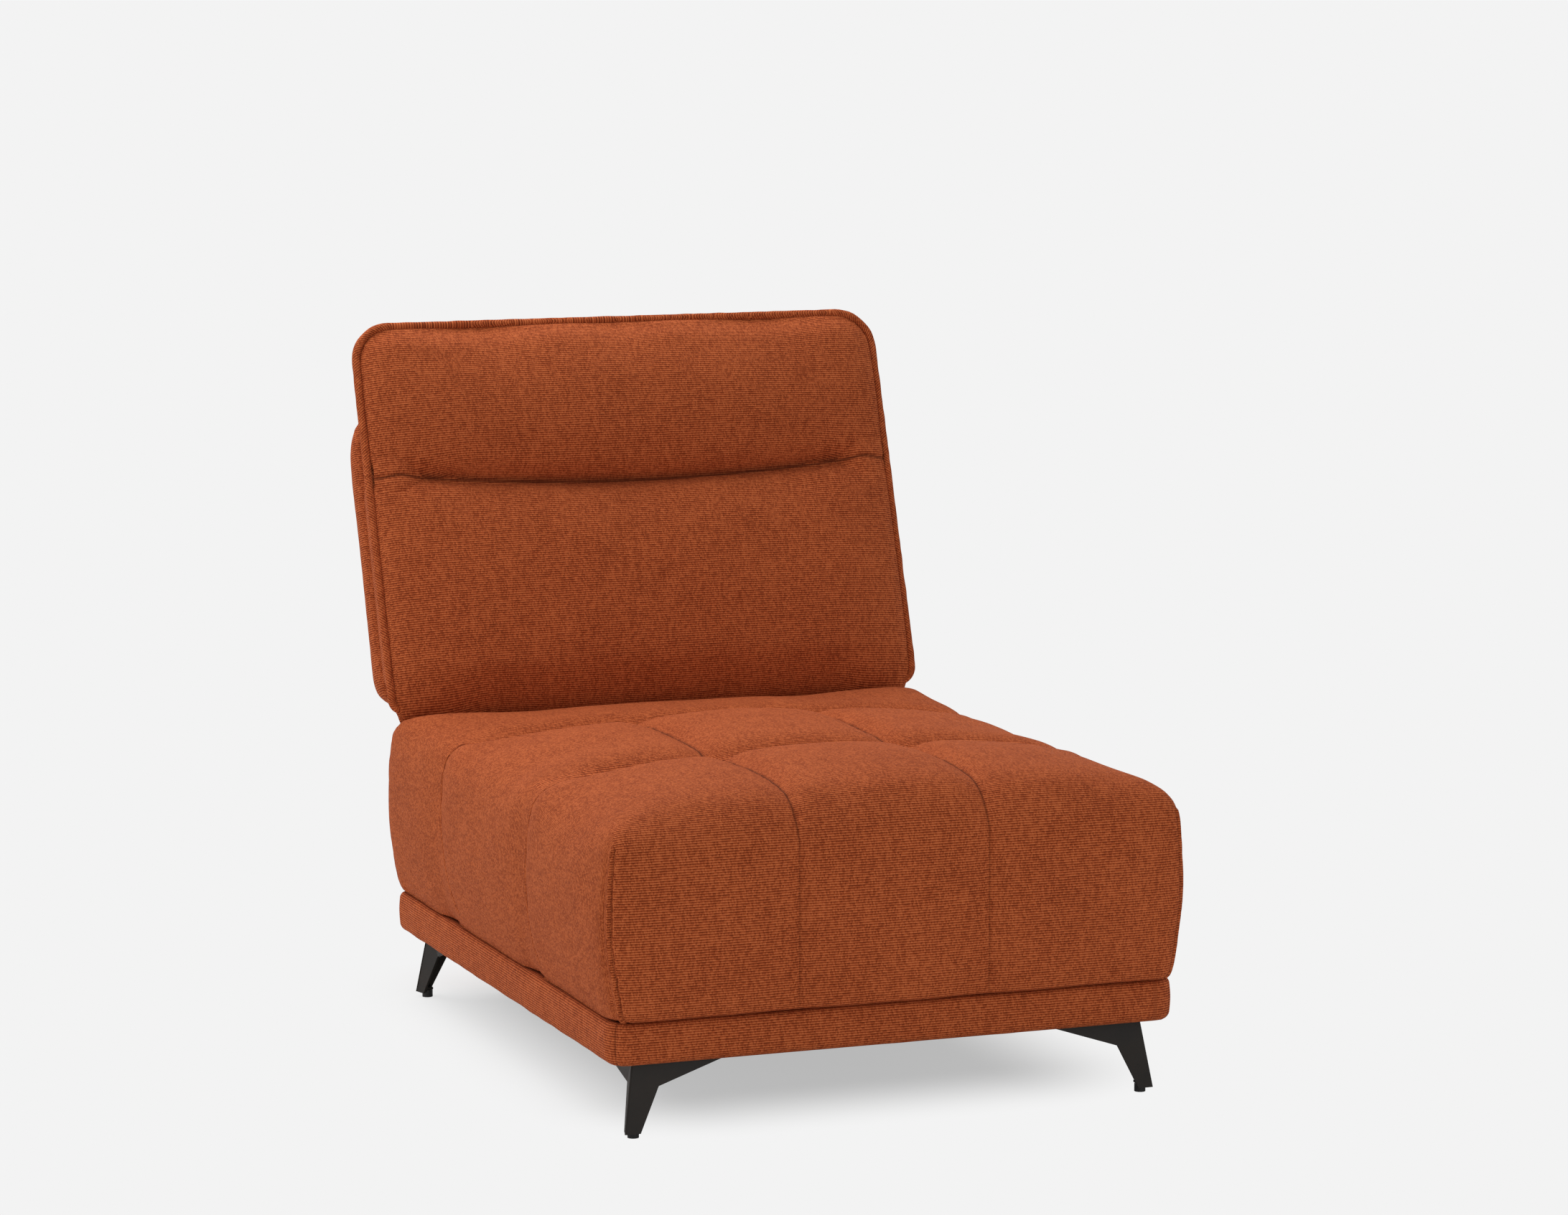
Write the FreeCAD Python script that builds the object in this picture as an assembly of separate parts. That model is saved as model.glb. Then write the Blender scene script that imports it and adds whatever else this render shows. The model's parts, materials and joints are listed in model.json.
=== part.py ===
"""Armless reclining lounge chair with a tufted deep seat, a floating back and a tilting headrest.

The chair faces -Y, +X is to the right seen from the front and +Z is up. The base is built about
its own centre, the back is built lying in its own plane, and both are moved to their places at
the end. In the back's own plane X runs across, w runs to the rear and u runs up the back.
"""
import FreeCAD, Part
import math
import os
from FreeCAD import Vector

os.makedirs("parts", exist_ok=True)

# General fits
soft_gap = 0.3
running_gap = 0.05
screw_gap = 0.1
joint_gap = 1.2
cut_overrun = 5.0

# Padded plinth round the base
plinth_half_width = 421.5
plinth_half_depth = 510.5
plinth_bottom = 104.5
plinth_top = 164.5
plinth_padding = 23.2
plinth_corner_radius = 20.0
plinth_bottom_radius = 14.0
plinth_top_radius = 9.0

# Hardwood base frame
rail_thickness = 30.0
rail_height = 50.0
cross_rail_width = 60.0
cross_rail_height = 30.0
cross_rail_share = 0.36
corner_block_leg = 100.0
corner_block_height = 40.0

# Folded steel legs
leg_steel = 3.0
leg_bottom = 7.0
leg_splay = 15.5
leg_side_inset = 25.5
leg_end_inset = 18.5
leg_foot_width = 22.5
leg_knee_width = 42.5
leg_knee_height = 69.0
leg_wing_length = 154.0
leg_side_lean = 15.0
leg_side_flat = 12.0
leg_bend_radius = 2.5
leg_plate_length = 108.0
leg_tab_height = 12.0
glide_radius = 8.0
glide_height = 11.0
glide_stem_radius = 4.0
glide_stem_length = 5.0
leg_bolt_radius = 3.0
leg_bolt_head_radius = 5.5
leg_bolt_head_height = 3.5
leg_bolt_length = 30.0
leg_bolt_near = 18.0
leg_bolt_far = 58.0
leg_bolt_side = 16.0

# Plywood seat box, webbing and foam
board_thickness = 18.0
seat_box_height = 170.0
web_width = 50.0
web_thickness = 2.0
web_count_across = 7
web_count_along = 5
web_along_share = 0.5
web_across_share = 0.84
core_height = 65.0
core_bracket_gap = 1.0
dust_cover_thickness = 1.2
dust_cover_inset = 8.0

# Seat cushion
seat_half_width = 437.0
seat_front = 521.0
seat_rear = 518.0
seat_bottom = 166.0
seat_side_height = 229.0
seat_draw_in = 17.0
seat_top_in = 5.0
seat_rise = 96.0
seat_shoulder_in = 41.0
seat_dip = 11.0
seat_edge_drop = 48.0
seat_end_draw = 22.0
wall_bow_share = 0.6
shoulder_in_share = 0.28
shoulder_up_share = 0.6
column_seam_x = 141.0
column_seam_shift = -11.0
seam_width = 3.0
seam_depth = 3.0
near_seam_y = -176.0
far_seam_y = 236.0
seam_lean = 80.0
# The side seams: share of the seat's side height and share of the lean towards the front there
near_seam_shares = ((0.02, 0.56), (0.10, 0.44), (0.2, 0.22), (0.4, 0.01), (0.66, -0.08), (1.0, 0.0))
far_seam_shares = ((0.02, 1.0), (0.10, 0.82), (0.24, 0.51), (0.41, 0.28), (0.65, 0.08), (1.0, 0.0))
# Each station of the seat: share of its depth, of the rise at the crown, of the dip at the column
# seams, of the drop to the shoulders, and of the draw-in of the ends
seat_station_shares = (
    (0.0, 0.08, 0.05, 0.02, 1.0), (0.004, 0.22, 0.1, 0.06, 0.55), (0.0135, 0.42, 0.3, 0.2, 0.22),
    (0.0356, 0.72, 0.6, 0.5, 0.05), (0.078, 0.9, 0.85, 0.8, 0.0), (0.165, 0.99, 1.0, 1.0, 0.0),
    (0.261, 0.95, 0.9, 0.9, 0.0), (0.323, 0.84, 0.6, 0.7, 0.1), (0.348, 0.75, 0.4, 0.6, 0.25),
    (0.373, 0.84, 0.6, 0.7, 0.1), (0.434, 0.93, 1.0, 1.0, 0.0), (0.54, 0.95, 1.0, 1.0, 0.0),
    (0.646, 0.84, 0.8, 0.9, 0.0), (0.706, 0.65, 0.5, 0.5, 0.1), (0.729, 0.56, 0.3, 0.35, 0.2),
    (0.752, 0.59, 0.2, 0.35, 0.1), (0.829, 0.59, 0.1, 0.35, 0.0), (0.886, 0.54, 0.05, 0.28, 0.0),
    (0.925, 0.45, 0.05, 0.14, 0.0), (0.954, 0.345, 0.05, 0.06, 0.0), (0.983, 0.22, 0.05, 0.04, 0.12),
    (0.996, 0.11, 0.05, 0.02, 0.42), (1.0, 0.05, 0.05, 0.01, 0.8))

# The back's plane: the seam of its front face, measured at its bottom edge
back_lean = 19.2
back_y = 478.3
back_z = 435.0

# Front cushions of the back and the headrest, in the back's own plane
face_half_width = 422.5
back_crown = 46.0
cushion_rear = 34.0
headrest_crown = 44.0
lip_height = 30.0
lip_bulge = 1.5
lip_crown_share = 0.72
crease_lip = 24.0
crease_gap = 1.0
boxing_step = 2.5
piping_gap = 2.6
headrest_boxing_out = 1.5
piping_radius = 6.5
piping_w = 2.0
band_bottom = 3.0
band_corner_radius = 30.0
top_corner_radius = 50.0
face_corner_radius = 14.0
face_bottom_bow = 9.0
back_height = 624.0
crease_end = 383.0
crease_sag = 27.0
# Stations across the back: share of the half-width and share of the crown there
face_station_shares = (
    (-1.0, 0.05), (-0.994, 0.26), (-0.98, 0.4), (-0.95, 0.53), (-0.9, 0.66), (-0.72, 0.84), (-0.4, 0.96),
    (0.0, 1.0), (0.4, 0.96), (0.72, 0.84), (0.9, 0.66), (0.95, 0.53), (0.98, 0.4), (0.994, 0.26), (1.0, 0.05))

# Back frame
frame_depth = 24.7
stile_width = 60.0
back_rail_height = 60.0
frame_bottom = 50.0
frame_top = 368.0
back_web_count = 5
back_core_depth = 30.0
core_side_margin = 15.0
core_margin = 40.0

# Rear panel of the back
panel_side_out = 4.5
panel_bottom = 32.0
panel_top = 510.0
panel_depth = 60.0
panel_board = 9.0
panel_board_margin = 28.0
panel_bottom_radius = 45.0
panel_top_radius = 78.0
panel_edge_radius = 20.0

# Headrest frame and rear cover
headrest_stile_width = 46.0
headrest_frame_depth = 16.0
headrest_board = 6.0
headrest_rail_height = 50.0
headrest_top_margin = 30.0
headrest_cover_margin = 14.0
headrest_shell_inset = 6.5
headrest_cover_radius = 42.0
headrest_cover_edge = 4.0

# Recline hinge
recline_w = 45.0
recline_u = 22.0
bracket_thickness = 6.0
arm_thickness = 5.0
washer_thickness = 1.2
recline_head_radius = 22.0
recline_pin_radius = 6.0
recline_pin_head_radius = 10.0
recline_pin_head = 4.0
bracket_neck_width = 34.0
bracket_foot_height = 130.0
bracket_foot_depth = 30.0
bracket_foot_rise = 16.0
bracket_flange_width = 40.0
bracket_flange_thickness = 6.0
bracket_bolt_radius = 4.0
bracket_bolt_head_radius = 6.5
bracket_bolt_head = 5.0
bracket_bolt_length = 14.0
bracket_bolt_shares = (0.2, 0.5, 0.8)
arm_length = 170.0
arm_screw_radius = 2.5
arm_screw_head_radius = 4.5
arm_screw_head = 2.0
arm_screw_length = 25.0
arm_screw_shares = (0.3, 0.58, 0.86)
hinge_side_room = 32.75
slot_inner_room = 6.0
slot_outer_room = 6.75
slot_depth_gap = 4.0

# Headrest hinge, with its axis just behind the crease
tilt_w = 6.0
tilt_u = 370.0
tilt_head_radius = 8.0
tilt_pin_radius = 3.0
tilt_pin_head_radius = 5.5
tilt_pin_head = 2.5
tilt_base_length = 80.0
tilt_arm_rail_gap = 52.0
tilt_slot_end_gap = 18.0
tilt_neck_width = 12.0
tilt_neck_drop = 42.0
tilt_screw_shares = (0.25, 0.55, 0.85)

# Heights and places that follow from the sizes above
rail_bottom = plinth_bottom + leg_steel
rail_top = rail_bottom + rail_height
base_half_width = plinth_half_width - plinth_padding - soft_gap
base_half_depth = plinth_half_depth - plinth_padding - soft_gap
leg_ridge_x = plinth_half_width - leg_side_inset
leg_ridge_y = plinth_half_depth - leg_end_inset
seat_box_top = rail_top + seat_box_height
core_bottom = seat_box_top + 2 * web_thickness + soft_gap
core_top = core_bottom + core_height
seat_side_top = seat_bottom + seat_side_height
frame_front = cushion_rear + soft_gap + web_thickness
frame_rear = frame_front + frame_depth
panel_front = frame_rear
headrest_front = cushion_rear + soft_gap
headrest_rear = headrest_front + headrest_frame_depth
bracket_outer = base_half_width - board_thickness - hinge_side_room - bracket_flange_width
bracket_inner = bracket_outer - bracket_thickness
arm_outer = bracket_inner - running_gap - washer_thickness
stile_outer = arm_outer - arm_thickness
slot_inner = stile_outer - slot_inner_room
slot_outer = bracket_outer + slot_outer_room
core_half_width = stile_outer - core_side_margin
panel_half_width = face_half_width + panel_side_out
tilt_arm_length = (back_height - headrest_top_margin - headrest_rail_height - tilt_arm_rail_gap
                   - tilt_u - tilt_neck_drop)
lean_sin = math.sin(math.radians(back_lean))
lean_cos = math.cos(math.radians(back_lean))

nodes = {}


def box(x0, x1, y0, y1, z0, z1):
    """A block between two corners."""
    return Part.makeBox(x1 - x0, y1 - y0, z1 - z0, Vector(x0, y0, z0))


def mirrored(shape):
    """The same shape on the other side of the X = 0 plane."""
    return shape.mirror(Vector(0, 0, 0), Vector(1, 0, 0))


def rod(radius, length, start, direction):
    """A round bar."""
    return Part.makeCylinder(radius, length, start, direction)


def prism(points, sweep):
    """A straight-sided block on an outline of points."""
    return Part.Face(Part.makePolygon(list(points) + [points[0]])).extrude(sweep)


def arc(a, b, c):
    """An arc of a circle from a through b to c."""
    return Part.Arc(a, b, c).toShape()


def line(a, b):
    return Part.LineSegment(a, b).toShape()


def fused(shapes):
    """One solid from touching shapes."""
    whole = shapes[0].multiFuse(shapes[1:])
    return whole.removeSplitter()


def to_place(shape):
    """Turn a shape from the back's own plane to where the leaning back stands."""
    placed = shape.copy()
    placed.rotate(Vector(0, 0, 0), Vector(1, 0, 0), -back_lean)
    placed.translate(Vector(0, back_y, back_z))
    return placed


def place_of(w, u):
    """The Y and Z, about the base's centre, of a point in the back's own plane."""
    return back_y + w * lean_cos + u * lean_sin, back_z + u * lean_cos - w * lean_sin


# Base frame
def make_base_frame():
    inner_width = base_half_width - rail_thickness
    inner_depth = base_half_depth - rail_thickness
    nodes["base_rail_front"] = box(-base_half_width, base_half_width, -base_half_depth, -inner_depth,
                                   rail_bottom, rail_top)
    nodes["base_rail_rear"] = box(-base_half_width, base_half_width, inner_depth, base_half_depth,
                                  rail_bottom, rail_top)
    right = box(inner_width, base_half_width, -inner_depth, inner_depth, rail_bottom, rail_top)
    nodes["base_rail_right"] = right
    nodes["base_rail_left"] = mirrored(right)
    cross_y = base_half_depth * cross_rail_share
    half = cross_rail_width / 2
    nodes["base_cross_rails"] = Part.Compound([
        box(-inner_width, inner_width, side * cross_y - half, side * cross_y + half,
            rail_top - cross_rail_height, rail_top) for side in (-1, 1)])
    blocks = []
    for sx in (-1, 1):
        for sy in (-1, 1):
            corner = [Vector(sx * inner_width, sy * inner_depth, rail_bottom),
                      Vector(sx * (inner_width - corner_block_leg), sy * inner_depth, rail_bottom),
                      Vector(sx * inner_width, sy * (inner_depth - corner_block_leg), rail_bottom)]
            block = prism(corner, Vector(0, 0, corner_block_height))
            for x, y in bolt_places(sx, sy):
                hole = rod(leg_bolt_radius + screw_gap, leg_bolt_length + cut_overrun,
                           Vector(x, y, rail_bottom - cut_overrun), Vector(0, 0, 1))
                block = block.cut(hole)
            blocks.append(block)
    nodes["corner_blocks"] = Part.Compound(blocks)


def bolt_places(sx, sy):
    """Where the bolts of one leg stand, measured in from the frame's inner corner."""
    inner_x = base_half_width - rail_thickness
    inner_y = base_half_depth - rail_thickness
    steps = ((leg_bolt_near, leg_bolt_near), (leg_bolt_far, leg_bolt_side), (leg_bolt_side, leg_bolt_far))
    return [(sx * (inner_x - dx), sy * (inner_y - dy)) for dx, dy in steps]


# Padded plinth in four sewn strips, mitred at the corners
def make_plinth():
    ring = box(-plinth_half_width, plinth_half_width, -plinth_half_depth, plinth_half_depth,
               plinth_bottom, plinth_top)
    upright = [e for e in ring.Edges if abs(e.Vertexes[0].Z - e.Vertexes[1].Z) > plinth_padding]
    ring = ring.makeFillet(plinth_corner_radius, upright)
    low = [e for e in ring.Edges if e.BoundBox.ZMax < plinth_bottom + plinth_padding / 2]
    ring = ring.makeFillet(plinth_bottom_radius, low)
    high = [e for e in ring.Edges if e.BoundBox.ZMin > plinth_top - plinth_padding / 2]
    ring = ring.makeFillet(plinth_top_radius, high)
    hole_x = plinth_half_width - plinth_padding
    hole_y = plinth_half_depth - plinth_padding
    ring = ring.cut(box(-hole_x, hole_x, -hole_y, hole_y, plinth_bottom - cut_overrun, plinth_top + cut_overrun))
    out_x = plinth_half_width + cut_overrun
    out_y = out_x + hole_y - hole_x
    near_x = hole_x - rail_thickness
    near_y = hole_y - rail_thickness
    floor = plinth_bottom - cut_overrun
    rise = Vector(0, 0, plinth_top - plinth_bottom + 2 * cut_overrun)
    for name, sy in (("front", -1), ("rear", 1)):
        strip = prism([Vector(-out_x, sy * out_y, floor), Vector(out_x, sy * out_y, floor),
                       Vector(near_x, sy * near_y, floor), Vector(-near_x, sy * near_y, floor)], rise)
        nodes["plinth_band_" + name] = ring.common(strip)
    for name, sx in (("left", -1), ("right", 1)):
        strip = prism([Vector(sx * out_x, -out_y, floor), Vector(sx * out_x, out_y, floor),
                       Vector(sx * near_x, near_y, floor), Vector(sx * near_x, -near_y, floor)], rise)
        nodes["plinth_band_" + name] = ring.common(strip)


# Legs: two boot-shaped plates folded from one sheet, with a mounting plate and a foot tab
def ridge(z):
    """The outer fold line of the rear right leg at a height."""
    lean = leg_splay * (z - leg_bottom) / (rail_bottom - leg_bottom)
    return leg_ridge_x - lean, leg_ridge_y - lean


def make_leg():
    top = rail_bottom
    slope = leg_splay / (rail_bottom - leg_bottom)
    reach = leg_steel / math.sqrt(1 + slope * slope)
    lean_x = math.sin(math.radians(leg_side_lean))
    lean_y = math.cos(math.radians(leg_side_lean))

    def across(off, z):
        return Vector(ridge(z)[0] - off, ridge(z)[1], z)

    def leaning(off, z):
        return Vector(ridge(z)[0] - off * lean_x, ridge(z)[1] - off * lean_y, z)

    front = [across(0, leg_bottom), across(leg_foot_width, leg_bottom), across(leg_knee_width, leg_knee_height),
             across(leg_wing_length, top), across(0, top)]
    side = [leaning(0, leg_bottom), leaning(leg_foot_width, leg_bottom), leaning(leg_knee_width, leg_knee_height),
            leaning(leg_side_flat, top), leaning(0, top)]
    wing_tip = Vector(ridge(top)[0], ridge(top)[1] - leg_wing_length, top)
    wing = [leaning(leg_side_flat, top), leaning(leg_knee_width, leg_knee_height), wing_tip]
    inward = Vector(-reach, 0, -reach * slope)
    leg = fused([prism(front, Vector(0, -reach, -reach * slope)), prism(side, inward), prism(wing, inward)])
    leg = leg.common(box(0, 2 * leg_ridge_x, 0, 2 * leg_ridge_y, leg_bottom, top))
    fold = [e for e in leg.Edges if e.Length > leg_knee_height
            and min(abs(v.X - ridge(v.Z)[0]) + abs(v.Y - ridge(v.Z)[1]) for v in e.Vertexes) < screw_gap
            and max(abs(v.X - ridge(v.Z)[0]) + abs(v.Y - ridge(v.Z)[1]) for v in e.Vertexes) < screw_gap]
    leg = leg.makeFillet(leg_bend_radius, fold)
    plate_z = top - leg_steel
    in_x, in_y = ridge(plate_z)
    in_x -= leg_steel / 2
    in_y -= leg_steel / 2
    plate = prism([Vector(in_x, in_y, plate_z), Vector(in_x - leg_plate_length, in_y, plate_z),
                   Vector(in_x, in_y - leg_plate_length, plate_z)], Vector(0, 0, leg_steel))
    tab_x, tab_y = ridge(leg_tab_height)
    tab_x -= leg_steel / 2
    tab_y -= leg_steel / 2
    gx, gy = glide_place()
    tab_in_x = gx - glide_stem_radius - leg_steel
    tab_in_y = gy - glide_stem_radius - leg_steel
    tab_lean_x = tab_x - (tab_y - tab_in_y) * math.tan(math.radians(leg_side_lean))
    tab = prism([Vector(tab_x, tab_y, leg_tab_height), Vector(tab_in_x, tab_y, leg_tab_height),
                 Vector(tab_in_x, tab_in_y, leg_tab_height), Vector(tab_lean_x, tab_in_y, leg_tab_height)],
                Vector(0, 0, leg_steel))
    leg = fused([leg, plate, tab])
    leg = leg.cut(rod(glide_stem_radius + screw_gap, leg_steel + 2 * cut_overrun,
                      Vector(gx, gy, leg_tab_height - cut_overrun), Vector(0, 0, 1)))
    for x, y in bolt_places(1, 1):
        leg = leg.cut(rod(leg_bolt_radius + screw_gap, leg_steel + 2 * cut_overrun,
                          Vector(x, y, plate_z - cut_overrun), Vector(0, 0, 1)))
    return leg


def glide_place():
    """The glide stands inside the fold, just clear of both plates."""
    x, y = ridge(glide_height)
    room = glide_radius + 2 * soft_gap
    lean = math.radians(leg_side_lean)
    inset_y = leg_steel + room
    inset_x = leg_steel + (room + inset_y * math.sin(lean)) / math.cos(lean)
    return x - inset_x, y - inset_y


def make_legs():
    rear_right = make_leg()
    front_right = rear_right.mirror(Vector(0, 0, 0), Vector(0, 1, 0))
    nodes["leg_rear_right"] = rear_right
    nodes["leg_rear_left"] = mirrored(rear_right)
    nodes["leg_front_right"] = front_right
    nodes["leg_front_left"] = mirrored(front_right)
    bolts = []
    glides = []
    gx, gy = glide_place()
    for sx in (-1, 1):
        for sy in (-1, 1):
            for x, y in bolt_places(sx, sy):
                head = rod(leg_bolt_head_radius, leg_bolt_head_height,
                           Vector(x, y, rail_bottom - leg_steel - leg_bolt_head_height), Vector(0, 0, 1))
                shank = rod(leg_bolt_radius, leg_bolt_length, Vector(x, y, rail_bottom - leg_steel), Vector(0, 0, 1))
                bolts.append(fused([head, shank]))
            disc = rod(glide_radius, glide_height, Vector(sx * gx, sy * gy, 0), Vector(0, 0, 1))
            stem = rod(glide_stem_radius, glide_stem_length, Vector(sx * gx, sy * gy, glide_height), Vector(0, 0, 1))
            glides.append(fused([disc, stem]))
    nodes["leg_bolts"] = Part.Compound(bolts)
    nodes["leg_glides"] = Part.Compound(glides)


# Seat box, webbing, foam core and dust cover
def make_seat_box():
    inner_width = base_half_width - board_thickness
    inner_depth = base_half_depth - board_thickness
    nodes["seat_box_front"] = box(-base_half_width, base_half_width, -base_half_depth, -inner_depth,
                                  rail_top, seat_box_top)
    rear = box(-base_half_width, base_half_width, inner_depth, base_half_depth, rail_top, seat_box_top)
    for x, z in bracket_bolt_places():
        for side in (-1, 1):
            rear = rear.cut(rod(bracket_bolt_radius + screw_gap, bracket_bolt_length + cut_overrun,
                                Vector(side * x, inner_depth - cut_overrun, z), Vector(0, 1, 0)))
    nodes["seat_box_rear"] = rear
    right = box(inner_width, base_half_width, -inner_depth, inner_depth, rail_top, seat_box_top)
    nodes["seat_box_right"] = right
    nodes["seat_box_left"] = mirrored(right)
    straps = []
    for i in range(web_count_across):
        y = base_half_depth * web_across_share * (2 * i / (web_count_across - 1) - 1)
        straps.append(box(-base_half_width, base_half_width, y - web_width / 2, y + web_width / 2,
                          seat_box_top, seat_box_top + web_thickness))
    for i in range(web_count_along):
        x = base_half_width * web_along_share * (2 * i / (web_count_along - 1) - 1)
        straps.append(box(x - web_width / 2, x + web_width / 2, -base_half_depth, base_half_depth,
                          seat_box_top + web_thickness, seat_box_top + 2 * web_thickness))
    nodes["seat_webbing"] = Part.Compound(straps)
    core = box(-base_half_width, base_half_width, -base_half_depth, base_half_depth, core_bottom, core_top)
    for bracket in (bracket_slot(1), bracket_slot(-1)):
        core = core.cut(bracket)
    nodes["seat_foam_core"] = core
    edge_x = base_half_width - rail_thickness + dust_cover_inset
    edge_y = base_half_depth - rail_thickness + dust_cover_inset
    cut = leg_plate_length + dust_cover_inset
    points = []
    for sx, sy in ((-1, -1), (1, -1), (1, 1), (-1, 1)):
        pair = [Vector(sx * (edge_x - cut), sy * edge_y, 0), Vector(sx * edge_x, sy * (edge_y - cut), 0)]
        points.extend(pair if sx * sy < 0 else pair[::-1])
    cover = prism(points, Vector(0, 0, dust_cover_thickness))
    cover.translate(Vector(0, 0, rail_bottom - dust_cover_thickness))
    nodes["dust_cover"] = cover


# Seat cushion
def seat_section(y, rise_share, dip_share, drop_share, draw_share):
    """One upright cut across the seat: drawn-in walls, two shoulders and three puffs."""
    base = seat_side_top
    crown = base + seat_rise * rise_share
    seam = crown - seat_dip * dip_share
    edge = crown - seat_edge_drop * drop_share
    half = seat_half_width - seat_end_draw * draw_share
    low = half - seat_draw_in
    high = half - seat_top_in
    shoulder = half - seat_shoulder_in * rise_share - seat_top_in
    lift = Vector(0, 0, seat_dip * dip_share)
    seams_x = (column_seam_x + column_seam_shift, -column_seam_x + column_seam_shift)

    def wall(side, start, end):
        bow = Vector(side * half, y, seat_bottom + seat_side_height * wall_bow_share)
        return arc(Vector(side * start[0], y, start[1]), bow, Vector(side * end[0], y, end[1]))

    def shoulder_bend(side):
        return Vector(side * (high - (high - shoulder) * shoulder_in_share), y,
                      base + (edge - base) * shoulder_up_share)

    def puff(a, b):
        return arc(a, (a + b) * 0.5 + lift, b)

    tops = [Vector(shoulder, y, edge), Vector(seams_x[0], y, seam), Vector(seams_x[1], y, seam),
            Vector(-shoulder, y, edge)]
    return Part.Wire([
        line(Vector(-low, y, seat_bottom), Vector(low, y, seat_bottom)),
        wall(1, (low, seat_bottom), (high, base)), arc(Vector(high, y, base), shoulder_bend(1), tops[0]),
        puff(tops[0], tops[1]), puff(tops[1], tops[2]), puff(tops[2], tops[3]),
        arc(tops[3], shoulder_bend(-1), Vector(-high, y, base)), wall(-1, (high, base), (low, seat_bottom))])


def side_seam(seam_y, shares, side):
    """The sewn groove down one side of the seat."""
    points = [(seam_y - seam_lean * lean, seat_bottom + seat_side_height * up) for up, lean in shares]
    inner = side * (seat_half_width - seam_depth)
    front_edge = [Vector(inner, y - seam_width / 2, z) for y, z in points]
    rear_edge = [Vector(inner, y + seam_width / 2, z) for y, z in points]
    return prism(front_edge + rear_edge[::-1], Vector(side * (seam_depth + cut_overrun), 0, 0))


def make_seat_cushion():
    depth = seat_front + seat_rear
    wires = [seat_section(depth * t - seat_front, *rest) for t, *rest in seat_station_shares]
    cushion = Part.makeLoft(wires, True, False)
    cushion = cushion.cut(box(-base_half_width - soft_gap, base_half_width + soft_gap, -base_half_depth - soft_gap,
                              base_half_depth + soft_gap, seat_bottom - cut_overrun, core_top + soft_gap))
    for side in (-1, 1):
        cushion = cushion.cut(bracket_slot(side))
        seam_x = side * column_seam_x + column_seam_shift
        cushion = cushion.cut(box(seam_x - seam_width / 2, seam_x + seam_width / 2, -seat_front - cut_overrun,
                                  -seat_front + seam_depth, seat_bottom - cut_overrun, seat_side_top))
        cushion = cushion.cut(side_seam(near_seam_y, near_seam_shares, side))
        cushion = cushion.cut(side_seam(far_seam_y, far_seam_shares, side))
    nodes["seat_cushion"] = cushion


# Recline hinge: brackets on the seat box, arms on the back frame
def recline_pivot():
    return place_of(recline_w, recline_u)


def bracket_solid(grow, x0, x1):
    """The bracket's plate in side view, grown all round by a clearance."""
    py, pz = recline_pivot()
    foot_y = base_half_depth - board_thickness
    low_y = foot_y - bracket_foot_depth / 2
    low_z = seat_box_top + bracket_foot_rise
    run = math.hypot(py - low_y, pz - low_z)
    half = bracket_neck_width / 2 + grow
    ny = (pz - low_z) / run * half
    nz = -(py - low_y) / run * half
    neck = prism([Vector(x0, low_y + ny, low_z + nz), Vector(x0, py + ny, pz + nz),
                  Vector(x0, py - ny, pz - nz), Vector(x0, low_y - ny, low_z - nz)], Vector(x1 - x0, 0, 0))
    head = rod(recline_head_radius + grow, x1 - x0, Vector(x0, py, pz), Vector(1, 0, 0))
    foot = box(x0, x1, foot_y - bracket_foot_depth - grow, foot_y, seat_box_top - bracket_foot_height, low_z)
    return fused([neck, head, foot])


def bracket_slot(side):
    """The clearance round a bracket in the soft pieces."""
    slot = bracket_solid(core_bracket_gap, bracket_inner - core_bracket_gap, bracket_outer + core_bracket_gap)
    return slot if side > 0 else mirrored(slot)


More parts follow.
